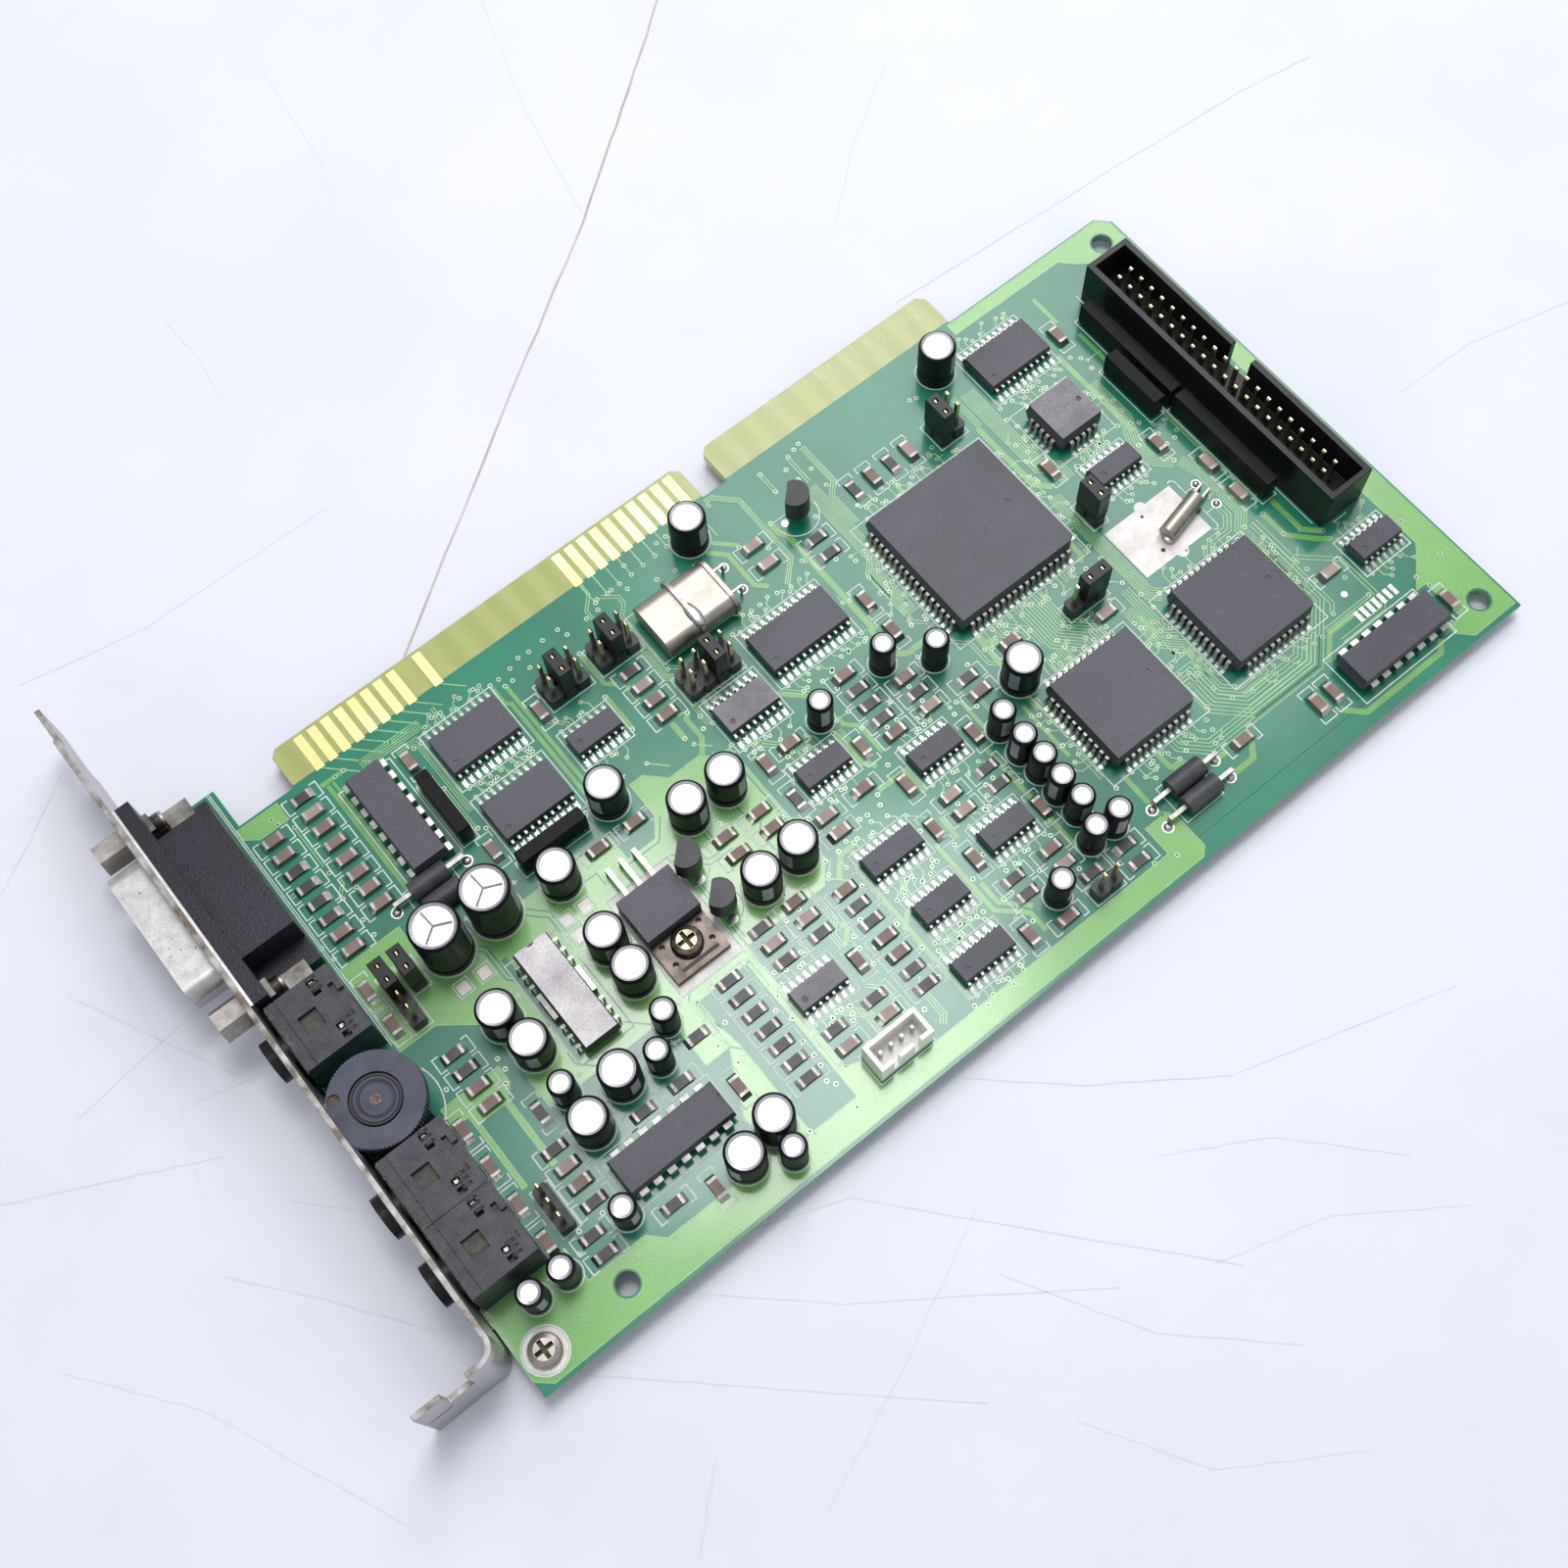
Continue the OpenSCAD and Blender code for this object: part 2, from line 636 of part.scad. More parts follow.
module game_port_housing() {
    color("dimgray")
        difference() {
            union() {
                translate([port_front, -port_y - flange_len / 2, 0])
                    cube([flange_t, flange_len, flange_h]);
                translate([port_back, -port_y - port_len / 2, 0])
                    cube([port_deep, port_len, port_h]);
                for (side = [-1, 1]) {
                    translate([port_back, -port_y + side * (port_len + wing_t) / 2 - wing_t / 2, 0])
                        cube([port_deep, wing_t, wing_h]);
                }
                translate([0, -port_y, port_z])
                    along_x(insert_front, port_front)
                        port_outline(-shell_t - hole_gap);
            }
            jackscrew_holes(port_front - over, port_back + over);
            for (spot = port_spots) {
                translate([insert_front - over, -port_y + spot[0], port_z + spot[1]])
                    rotate([0, 90, 0])
                        cylinder(r = port_hole_r, h = port_back - insert_front + over, $fn = 24);
            }
        }
}

module game_port_shell() {
    color("gainsboro")
        difference() {
            union() {
                translate([bracket_in, -port_y - flange_len / 2, 0])
                    cube([shell_t, flange_len, flange_h]);
                translate([0, -port_y, port_z])
                    along_x(bracket_out - shell_reach, port_front)
                        port_outline(0);
            }
            translate([0, -port_y, port_z])
                along_x(bracket_out - shell_reach - over, port_front + over)
                    port_outline(-shell_t);
            jackscrew_holes(bracket_in - over, port_front + over);
        }
}

module game_port_contacts() {
    color("gold")
        for (spot = port_spots) {
            translate([insert_front + shell_t, -port_y + spot[0], port_z + spot[1]])
                rotate([0, 90, 0])
                    difference() {
                        cylinder(r = port_hole_r - hole_gap / 3, h = port_back - port_front, $fn = 24);
                        translate([0, 0, -over])
                            cylinder(r = port_hole_r - hole_gap, h = port_back - port_front, $fn = 24);
                    }
        }
}

thread_out = 2.6;
tap_deep = 4;
module jackscrews() {
    color("silver")
        for (side = [-1, 1]) {
            translate([bracket_out, -port_y + side * jackscrew_step / 2, port_z])
                rotate([0, -90, 0])
                    difference() {
                        union() {
                            rotate(30)
                                cylinder(d = screw_flats / cos(30), h = screw_head, $fn = 6);
                            translate([0, 0, -bracket_t - shell_t - flange_t - thread_out])
                                cylinder(r = screw_r, h = bracket_t + shell_t + flange_t + thread_out + over);
                        }
                        translate([0, 0, screw_head - tap_deep])
                            cylinder(r = tap_r, h = tap_deep + over);
                    }
        }
}

// A board lock is a strip that the jackscrew's end is threaded into, folded down to the board
module port_board_locks() {
    lock_end = port_back + port_deep * 0.75;
    color("lightgray")
        for (side = [-1, 1]) {
            translate([0, -port_y + side * jackscrew_step / 2, 0])
                difference() {
                    across(lock_w)
                        polygon([
                            [port_back, port_z + screw_r + shell_t],
                            [port_back, port_z - screw_r - shell_t],
                            [port_back + shell_t, port_z - screw_r - 1.5 * shell_t],
                            [port_back + 2 * shell_t, port_z - screw_r - shell_t],
                            [lock_end - shell_t, port_z - screw_r - shell_t],
                            [lock_end - shell_t, wing_h],
                            [lock_end, wing_h],
                            [lock_end, port_z - screw_r],
                            [port_back + 2 * shell_t, port_z - screw_r],
                            [port_back + 2 * shell_t, port_z + screw_r + shell_t]
                        ]);
                    translate([port_back - over, 0, port_z])
                        rotate([0, 90, 0])
                            cylinder(r = screw_r, h = 2 * over + shell_t);
                }
        }
}

// Audio jack with its bore along X; the covers show seams, windows and spring slots
seam_w = 0.25;
seam_deep = 0.3;
window = 3.1;
slot_l = 1.3;
slot_w = 1.1;
slot_deep = 1.4;
slot_side = 4;
step_deep = 0.9;

module jack(y) {
    color("dimgray")
        translate([0, y, 0])
            difference() {
                union() {
                    translate([jack_front, -jack_w / 2, 0])
                        cube([jack_len, jack_w, jack_h]);
                    translate([bracket_out - barrel_reach, 0, plug_z])
                        rotate([0, 90, 0])
                            cylinder(r = barrel_r, h = jack_front - bracket_out + barrel_reach);
                }
                translate([bracket_out - barrel_reach - over, 0, plug_z])
                    rotate([0, 90, 0])
                        cylinder(r = plug_r, h = plug_deep + over);
                translate([jack_front - over, -jack_w, jack_h - step_deep])
                    cube([over + seam_w, 2 * jack_w, over + step_deep]);
                translate([jack_front + 2 * step_deep, -jack_w, jack_h - seam_deep])
                    cube([seam_w, 2 * jack_w, seam_deep + over]);
                translate([jack_front + jack_len * 0.29, -window / 2, jack_h - step_deep])
                    cube([window, window, step_deep + over]);
                for (side = [-1, 1]) {
                    for (pair = [-1, 1]) {
                        translate([
                            jack_front + jack_len * 0.69 - slot_l / 2,
                            side * slot_side + pair * slot_w * 0.7 - slot_w / 2,
                            jack_h - slot_deep
                        ])
                            cube([slot_l, slot_w, slot_deep + over]);
                    }
                }
                translate([jack_back - step_deep * 2, -window / 2, jack_h - step_deep])
                    cube([step_deep * 2 + over, window, step_deep + over]);
                translate([jack_back - step_deep * 2, -window, jack_h - step_deep])
                    cube([step_deep, 2 * window, step_deep + over]);
            }
}

module jack_contacts() {
    color("silver")
        for (y = jack_places) {
            for (side = [-1, 1]) {
                translate([
                    jack_front + jack_len * 0.69 - slot_l / 4,
                    y + side * slot_side + slot_w * 0.7 - slot_w / 4,
                    jack_h - slot_deep
                ])
                    cube([slot_l / 2, slot_w / 2, slot_deep * 0.8]);
            }
        }
}

// Volume control: fixed case, turning shaft, ridged wheel and its screw
bush_r = 3.2;
shaft_low = 1.2;
spigot_r = 1.4;
wheel_web = 1.2;
hub_r = 3.7;
groove_w = 0.35;
dome_r = 2.3;
dot_r = 0.95;
wheel_screw_r = 0.85;
wheel_screw_h = 0.5;

module at_wheel() {
    translate([wheel_x, -wheel_y, 0])
        children();
}

module volume_pot() {
    color("dimgray")
        at_wheel()
            difference() {
                union() {
                    centred_box(pot_w, pot_w, 0, pot_h);
                    translate([0, 0, pot_h])
                        cylinder(r = bush_r, h = 1.2 * bush_r / 2);
                }
                translate([0, 0, shaft_low])
                    cylinder(r = shaft_r + shaft_gap, h = wheel_z);
            }
}

module volume_shaft() {
    color("silver")
        at_wheel()
            difference() {
                union() {
                    translate([0, 0, shaft_low + shaft_gap])
                        cylinder(r = shaft_r, h = wheel_z - shaft_low - shaft_gap);
                    translate([0, 0, wheel_z - over])
                        cylinder(r = spigot_r, h = wheel_web + over);
                }
                translate([0, 0, wheel_z - wheel_web])
                    cylinder(r = wheel_screw_r / 2, h = 2 * wheel_web + over);
            }
}

module volume_wheel() {
    color("slategray")
        at_wheel()
            translate([0, 0, wheel_z])
                difference() {
                    linear_extrude(wheel_t)
                        polygon([
                            for (i = [0:2 * wheel_ridges - 1])
                                let (r = wheel_r - (i % 2) * ridge_deep, a = i * 180 / wheel_ridges)
                                    [r * cos(a), r * sin(a)]
                        ]);
                    rotate_extrude()
                        polygon([
                            [0, -over],
                            [spigot_r, -over],
                            [spigot_r, wheel_web],
                            [wheel_screw_r / 2, wheel_web],
                            [wheel_screw_r / 2, wheel_t - wheel_screw_h],
                            [wheel_screw_r, wheel_t - wheel_screw_h],
                            [wheel_screw_r, wheel_t + over],
                            [0, wheel_t + over]
                        ]);
                    rotate_extrude()
                        polygon([
                            [dome_r, wheel_t],
                            [dome_r * 1.15, wheel_t - wheel_screw_h / 2],
                            [hub_r - 3 * groove_w, wheel_t - wheel_screw_h / 2],
                            [hub_r - 2 * groove_w, wheel_t],
                            [hub_r - 2 * groove_w, wheel_t + over],
                            [dome_r, wheel_t + over]
                        ]);
                    rotate_extrude()
                        translate([hub_r, wheel_t - 2 * groove_w])
                            square([groove_w, 2 * groove_w + over]);
                    translate([-wheel_r * 0.67, wheel_r * 0.49, wheel_t - groove_w])
                        cylinder(r = dot_r, h = groove_w + over);
                }
}

module wheel_screw() {
    color("tan")
        at_wheel()
            translate([0, 0, wheel_z + wheel_t - wheel_screw_h])
                difference() {
                    union() {
                        cylinder(r = wheel_screw_r, h = wheel_screw_h);
                        translate([0, 0, -wheel_t])
                            cylinder(r = wheel_screw_r / 2, h = wheel_t);
                    }
                    for (turn = [0, 90]) {
                        rotate(turn)
                            centred_box(wheel_screw_r * 1.2, groove_w, wheel_screw_h / 2, wheel_screw_h + over);
                    }
                }
}

// Box header: shroud with a key gap, and two rows of pins
header_share = [1.572, -0.397];
header_x = at(header_share)[0];
header_y = at(header_share)[1];
header_len = (header_rows - 1) * contact_pitch + 2 * header_end;
header_spots = [
    for (i = [0:header_rows - 1])
        for (side = [-1, 1])
            [header_x + side * contact_pitch / 2, header_y + (i - (header_rows - 1) / 2) * contact_pitch]
];

module header_shroud() {
    color("dimgray")
        difference() {
            translate([header_x, header_y, 0])
                difference() {
                    centred_box(header_w, header_len, 0, header_h);
                    centred_box(
                        header_w - 2 * header_wall, header_len - 2 * header_wall, header_floor, header_h + over
                    );
                    translate([0, -key_w / 2, header_floor])
                        cube([header_w, key_w, header_h]);
                }
            for (spot = header_spots) {
                translate(spot)
                    centred_box(pin_w, pin_w, -over, header_floor + over);
            }
        }
}

// A square pin whose tip is cut to a small chisel
module square_pin(height) {
    tip = pin_w / 3;
    across(pin_w)
        polygon([
            [-pin_w / 2, 0],
            [pin_w / 2, 0],
            [pin_w / 2, height - tip],
            [pin_w / 2 - tip, height],
            [tip - pin_w / 2, height],
            [-pin_w / 2, height - tip]
        ]);
}

function block_spot(block, column, row) = at(block[0]) + [column * contact_pitch, -row * contact_pitch, 0];

module square_pins() {
    color("khaki") {
        for (spot = header_spots) {
            translate(spot)
                square_pin(pin_top);
        }
        for (block = jumper_blocks) {
            for (column = [0:block[1] - 1]) {
                for (row = [0:block[2] - 1]) {
                    translate(block_spot(block, column, row))
                        square_pin(pin_top);
                }
            }
        }
    }
}

base_cut = 0.4;
module jumper_bases() {
    color("dimgray")
        for (block = jumper_blocks) {
            translate(at(block[0]))
                difference() {
                    linear_extrude(base_h)
                        for (column = [0:block[1] - 1]) {
                            for (row = [0:block[2] - 1]) {
                                translate([column * contact_pitch, -row * contact_pitch])
                                    base_cell();
                            }
                        }
                    for (column = [0:block[1] - 1]) {
                        for (row = [0:block[2] - 1]) {
                            translate([column * contact_pitch, -row * contact_pitch, 0])
                                centred_box(pin_w, pin_w, -over, base_h + over);
                        }
                    }
                }
        }
}

module base_cell() {
    half = contact_pitch / 2;
    polygon([
        [base_cut - half, -half],
        [half - base_cut, -half],
        [half, base_cut - half],
        [half, half - base_cut],
        [half - base_cut, half],
        [base_cut - half, half],
        [-half, half - base_cut],
        [-half, base_cut - half]
    ]);
}

module jumper_caps() {
    cap_len = 2 * contact_pitch - (contact_pitch - cap_w);
    color("dimgray")
        for (seat = jumper_cap_seats) {
            translate(block_spot(jumper_blocks[seat[0]], seat[1], seat[2]) + [0, 0, base_h])
                rotate(seat[3] ? 0 : -90)
                    difference() {
                        translate([-cap_w / 2, -cap_w / 2, 0])
                            cube([cap_len, cap_w, cap_h]);
                        for (i = [0, 1]) {
                            translate([i * contact_pitch, 0, 0])
                                centred_box(pin_w, pin_w, -over, cap_h + over);
                        }
                    }
        }
}

// Wafer connector for the drive's audio lead
wafer_share = [0.439, -0.9185];
wafer_pins_n = 4;
wafer_pitch = 2;
wafer_len = 9.8;
wafer_w = 4.7;
wafer_h = 6;
wafer_wall = 0.7;
wafer_floor = 1.8;
wafer_gap = 1.2;
wafer_pin_w = 0.5;

module wafer_places() {
    translate(at(wafer_share))
        for (i = [0:wafer_pins_n - 1]) {
            translate([(i - (wafer_pins_n - 1) / 2) * wafer_pitch, wafer_w / 12, 0])
                children();
        }
}

module wafer_housing() {
    color("ivory")
        difference() {
            translate(at(wafer_share))
                difference() {
                    centred_box(wafer_len, wafer_w, 0, wafer_h);
                    centred_box(wafer_len - 2 * wafer_wall, wafer_w - 2 * wafer_wall, wafer_floor, wafer_h + over);
                    for (side = [-1, 1]) {
                        translate([side * wafer_len / 5 - wafer_gap / 2, -wafer_w, wafer_floor])
                            cube([wafer_gap, wafer_w, wafer_h]);
                    }
                }
            wafer_places()
                centred_box(wafer_pin_w, wafer_pin_w, -over, wafer_floor + over);
        }
}

module wafer_pins() {
    color("silver")
        wafer_places()
            centred_box(wafer_pin_w, wafer_pin_w, 0, wafer_h - 2 * wafer_wall);
}

// Electrolytic capacitor: crimped can with a sunk top inside its sleeve
module capacitor_can(r, h) {
    crimp = 0.3;
    rim = 0.45;
    rotate_extrude()
        polygon([
            [0, 0],
            [r, 0],
            [r, 4 * crimp],
            [r - crimp, 5 * crimp],
            [r - crimp, 6 * crimp],
            [r, 7 * crimp],
            [r, h - rim],
            [r - rim / 2, h - rim / 5],
            [r - rim, h],
            [r - 2 * rim, h - rim / 2],
            [0, h - rim / 2]
        ]);
}

module large_capacitors() {
    color("dimgray")
        on_board(large_shares)
            capacitor_can(large_r, large_h);
}

module medium_capacitors() {
    color("dimgray")
        on_board(medium_shares)
            capacitor_can(medium_r, can_h);
}

module small_capacitors() {
    color("dimgray")
        on_board(small_shares)
            capacitor_can(small_r, can_h);
}

// Resistor networks standing on a row of leads
network_t = 2.3;
network_h = 5.1;
network_foot = 0.5;
network_lead = 0.5;
module resistor_networks() {
    color("dimgray")
        for (seat = network_seats) {
            length = seat[1] * contact_pitch - network_lead;
            translate(at(seat[0]))
                rotate(seat[2]) {
                    centred_box(length, network_t, network_foot, network_h);
                    for (i = [0:seat[1] - 1]) {
                        translate([(i - (seat[1] - 1) / 2) * contact_pitch, 0, 0])
                            centred_box(network_lead, network_lead, 0, network_foot);
                    }
                }
        }
}

// Beads and other parts whose leads run out along X and fold down to the board
bead_r = 1.7;
bead_len = 6.5;
bead_span = 13;
wire_r = 0.35;
module choke_beads() {
    color("dimgray")
        on_board(bead_shares) {
            translate([-bead_len / 2, 0, bead_r])
                rotate([0, 90, 0])
                    cylinder(r = bead_r, h = bead_len);
            for (side = [-1, 1]) {
                translate([side * (bead_span + bead_len) / 4, 0, 0])
                    centred_box((bead_span - bead_len) / 2, 2 * wire_r, bead_r - wire_r, bead_r + wire_r);
                translate([side * (bead_span / 2 - wire_r), 0, 0])
                    centred_box(2 * wire_r, 2 * wire_r, 0, bead_r);
            }
        }
}

// Regulator: moulded body on a metal tab, three folded leads
regulator_w = 9.9;
regulator_len = 15.1;
regulator_body = 8;
regulator_h = 4.4;
regulator_lead = 0.8;
regulator_run = 6;
regulator_hole_in = 2.8;
module regulator() {
    body_low = regulator_len - regulator_hole_in - regulator_body;
    color("dimgray")
        translate(at(regulator_share)) {
            difference() {
                union() {
                    translate([-regulator_w / 2, -regulator_len + regulator_hole_in + regulator_body, 0])
                        cube([regulator_w, regulator_len - regulator_body, tab_t]);
                    translate([-regulator_w / 2, regulator_hole_in, 0])
                        cube([regulator_w, regulator_body, regulator_h]);
                }
                translate([0, 0, -over])
                    cylinder(r = m3_r, h = tab_t + 2 * over);
                for (side = [-1, 1]) {
                    for (end = [-1, 1]) {
                        translate([side * regulator_w * 0.35, end * body_low * 0.4, -over])
                            cylinder(r = m3_r / 3, h = tab_t + 2 * over, $fn = 24);
                    }
                }
            }
            for (i = [-1:1]) {
                translate([i * contact_pitch, regulator_hole_in + regulator_body, 0]) {
                    translate([-regulator_lead / 2, 0, tab_t + regulator_lead])
                        cube([regulator_lead, regulator_run, regulator_lead / 2]);
                    translate([-regulator_lead / 2, regulator_run - regulator_lead / 2, 0])
                        cube([regulator_lead, regulator_lead / 2, tab_t + regulator_lead]);
                }
            }
        }
}

// Small transistors: round bodies with one flat side on three leads
transistor_r = 2.4;
transistor_flat = 1.4;
transistor_low = 2.6;
transistor_h = 4.8;
module small_transistors() {
    color("dimgray")
        on_board(transistor_shares)
            rotate(45) {
                translate([0, 0, transistor_low])
                    intersection() {
                        cylinder(r = transistor_r, h = transistor_h);
                        translate([-transistor_r, -transistor_r, 0])
                            cube([2 * transistor_r, transistor_r + transistor_flat, transistor_h]);
                    }
                for (i = [-1:1]) {
                    translate([i * contact_pitch / 2, 0, 0])
                        centred_box(network_lead, network_lead, 0, transistor_low);
                }
            }
}

// Crystal can lying on its side, with the wire that holds it down
crystal_share = [0.631, -0.157];
crystal_len = 13;
crystal_w = 10.4;
crystal_r = 2.1;
crystal_rim = 0.45;
crystal_rim_t = 0.7;
crystal_step = 4.9;
strap_r = 0.35;
module can_section(grow) {
    square([crystal_w - 2 * crystal_r, 2 * (crystal_r + grow)], center = true);
    for (side = [-1, 1]) {
        translate([side * (crystal_w / 2 - crystal_r), 0])
            circle(r = crystal_r + grow);
    }
}

module crystal_can() {
    middle = crystal_r + crystal_rim;
    color("silver")
        translate(at(crystal_share)) {
            translate([0, 0, middle]) {
                along_x(-crystal_len / 2, crystal_len / 2)
                    can_section(0);
                along_x(crystal_len / 2, crystal_len / 2 + crystal_rim_t)
                    can_section(crystal_rim);
            }
            for (side = [-1, 1]) {
                translate([crystal_len / 2 + crystal_rim_t, side * crystal_step / 2 - wire_r / 2, 0]) {
                    translate([0, 0, middle])
                        cube([contact_pitch, wire_r, wire_r]);
                    translate([contact_pitch - wire_r, 0, 0])
                        cube([wire_r, wire_r, middle]);
                }
            }
        }
}

module crystal_strap() {
    color("silver")
        translate(at(crystal_share))
            difference() {
                translate([0, 0, crystal_r + crystal_rim])
                    along_x(-strap_r, strap_r)
                        difference() {
                            can_section(2 * strap_r);
                            can_section(0);
                        }
                centred_box(2 * crystal_len, 2 * crystal_w, -2 * crystal_r, 0);
            }
}

watch_share = [1.363, -0.533];
watch_angle = 13;
watch_r = 1.5;
watch_len = 8.5;
module watch_crystal() {
    color("silver")
        translate(at(watch_share))
            rotate(watch_angle) {
                translate([-watch_len / 2, 0, watch_r])
                    rotate([0, 90, 0])
                        cylinder(r = watch_r, h = watch_len);
                for (side = [-1, 1]) {
                    translate([watch_len / 2 + contact_pitch / 2, side * watch_r / 2, 0]) {
                        centred_box(contact_pitch, wire_r, watch_r, watch_r + wire_r);
                        translate([(contact_pitch - wire_r) / 2, 0, 0])
                            centred_box(wire_r, wire_r, 0, watch_r);
                    }
                }
            }
}

// Small surface parts: a block with slightly proud metal ends
smd_end = 0.5;
smd_proud = 0.05;
module surface_part(h) {
    half = smd_len / 2;
    across(smd_w)
        polygon([
            [-half, 0],
            [half, 0],
            [half, h],
            [half - smd_end, h],
            [half - smd_end, h - smd_proud],
            [smd_end - half, h - smd_proud],
            [smd_end - half, h],
            [-half, h]
        ]);
}

module chip_resistors() {
    color("dimgray") {
        on_board(resistor_h_shares)
            surface_part(resistor_h);
        on_board(resistor_v_shares)
            rotate(90)
                surface_part(resistor_h);
    }
}

module chip_capacitors() {
    color("rosybrown") {
        on_board(ceramic_h_shares)
            surface_part(ceramic_h);
        on_board(ceramic_v_shares)
            rotate(90)
                surface_part(ceramic_h);
    }
}

// Moulded chip body: two halves that narrow away from the parting line
module draft_profile(l, low, high, draft) {
    polygon([
        [draft - l / 2, low],
        [l / 2 - draft, low],
        [l / 2, (low + high) / 2],
        [l / 2 - draft, high],
        [draft - l / 2, high],
        [-l / 2, (low + high) / 2]
    ]);
}

module moulded_body(l, w, low, high, draft) {
    intersection() {
        across(w)
            draft_profile(l, low, high, draft);
        rotate(90)
            across(l)
                draft_profile(w, low, high, draft);
    }
}

// Small-outline chip with folded leads on both long sides
gull_w = 0.42;
gull_foot = 0.7;
soic_rise = 0.12;
chip_draft = 0.16;
dimple_r = 0.5;
dimple_deep = 0.12;
module gull_lead(from, to, h) {
    middle = soic_rise + (h - soic_rise) / 2;
    shoulder = from + (to - from - gull_foot) * 0.5;
    across(gull_w)
        polygon([
            [from - 2 * chip_draft, middle + lead_t / 2],
            [from - 2 * chip_draft, middle - lead_t / 2],
            [shoulder, middle - lead_t / 2],
            [to - gull_foot, 0],
            [to, 0],
            [to, lead_t],
            [to - gull_foot + lead_t / 2, lead_t],
            [shoulder + lead_t, middle + lead_t / 2]
        ]);
}

module soic(pins, l, w, span) {
    color("dimgray") {
        difference() {
            moulded_body(l, w, soic_rise, soic_h, chip_draft);
            translate([dimple_r * 3 - l / 2, dimple_r * 3 - w / 2, soic_h - dimple_deep])
                cylinder(r = dimple_r, h = over, $fn = 24);
        }
        for (i = [0:pins / 2 - 1]) {
            for (turn = [0, 180]) {
                rotate(90 + turn)
                    translate([0, (i - (pins / 2 - 1) / 2) * lead_pitch, 0])
                        gull_lead(w / 2, span / 2, soic_h);
            }
        }
    }
}

// Square chip with leads folded under it on four sides
fold_lead_w = 0.65;
fold_out = 0.65;
square_rise = 0.6;
corner_share = 0.06;
module fold_lead(side) {
    middle = square_h * 0.55;
    across(fold_lead_w)
        polygon([
            [side - 2 * chip_draft, middle],
            [side - 2 * chip_draft, middle - lead_t],
            [side + fold_out - lead_t, middle - lead_t],
            [side + fold_out - lead_t, lead_t],
            [side - fold_out, lead_t],
            [side - fold_out, 0],
            [side + fold_out - lead_t, 0],
            [side + fold_out, lead_t],
            [side + fold_out, middle - lead_t],
            [side + fold_out - lead_t, middle]
        ]);
}

module square_chip(pins, body) {
    row = pins / 4;
    cut = body * corner_share;
    color("dimgray") {
        difference() {
            moulded_body(body, body, square_rise, square_h, chip_draft * 2);
            translate([body / 2, -body / 2, 0])
                rotate(45)
                    centred_box(cut * 2, cut * 1.5, -over, square_h + over);
            translate([body / 2 - body * corner_share * 3, 0, square_h - dimple_deep])
                cylinder(r = dimple_r, h = over, $fn = 24);
        }
        for (turn = [0:90:270]) {
            for (i = [0:row - 1]) {
                rotate(turn)
                    translate([0, (i - (row - 1) / 2) * lead_pitch, 0])
                        fold_lead(body / 2);
            }
        }
    }
}

// Chip whose leads go through the board
dip_rise = 0.7;
dip_body_w = 6.35;
dip_row = 7.62;
dip_lead_w = 0.5;
dip_shoulder_w = 1.4;
dip_notch_r = 0.8;
module dip_lead(shoulder) {
    middle = (dip_rise + dip_h) / 2;
    lead = dip_row / 2;
    across(shoulder)
        polygon([
            [dip_body_w / 2 - 2 * chip_draft, middle + lead_t / 2],
            [dip_body_w / 2 - 2 * chip_draft, middle - lead_t / 2],
            [lead - lead_t / 2, middle - lead_t / 2],
            [lead - lead_t / 2, dip_rise],
            [lead + lead_t / 2, dip_rise],
            [lead + lead_t / 2, middle]
        ]);
    translate([lead, 0, 0])
        centred_box(lead_t, dip_lead_w, 0, dip_rise);
}

module dip_body(l) {
    difference() {
        moulded_body(l, dip_body_w, dip_rise, dip_h, chip_draft * 2);
        translate([l / 2, 0, dip_h - dip_notch_r])
            cylinder(r = dip_notch_r, h = dip_notch_r + over);
    }
}

module dip(pins, l) {
    color("dimgray") {
        dip_body(l);
        for (turn = [0, 180]) {
            for (i = [0:pins / 2 - 1]) {
                rotate(90 + turn)
                    translate([0, (i - (pins / 2 - 1) / 2) * contact_pitch, 0])
                        dip_lead(dip_shoulder_w);
            }
        }
    }
}

// Power amplifier: three leads, a wide heat tab and three leads on each side
amp_tab_w = 4.6;
amp_side_step = 5.8;
module heat_tab_chip(l) {
    color("dimgray") {
        dip_body(l);
        for (turn = [0, 180]) {
            rotate(90 + turn) {
                dip_lead(amp_tab_w);
                for (side = [-1, 1]) {
                    for (i = [-1:1]) {
                        translate([0, side * amp_side_step + i * contact_pitch * 0.75, 0])
                            dip_lead(network_lead);
                    }
                }
            }
        }
    }
}

// Solder joints under the board, one for each lead that comes through
joint_r = 0.85;
header_joint_h = 1.6;
joint_h = 1.25;
dip_seats = [[timer_share, 8, 90], [preamp_share, 7, 0], [driver_share, 7, 0]];

module joint(h) {
    translate([0, 0, -board_t - h])
        cylinder(r1 = joint_r / 3, r2 = joint_r, h = h, $fn = 16);
}

module header_joints() {
    color("silver")
        for (spot = header_spots) {
            translate(spot)
                joint(header_joint_h);
        }
}

module lead_row(n, pitch) {
    for (i = [0:n - 1]) {
        translate([(i - (n - 1) / 2) * pitch, 0, 0])
            joint(joint_h);
    }
}

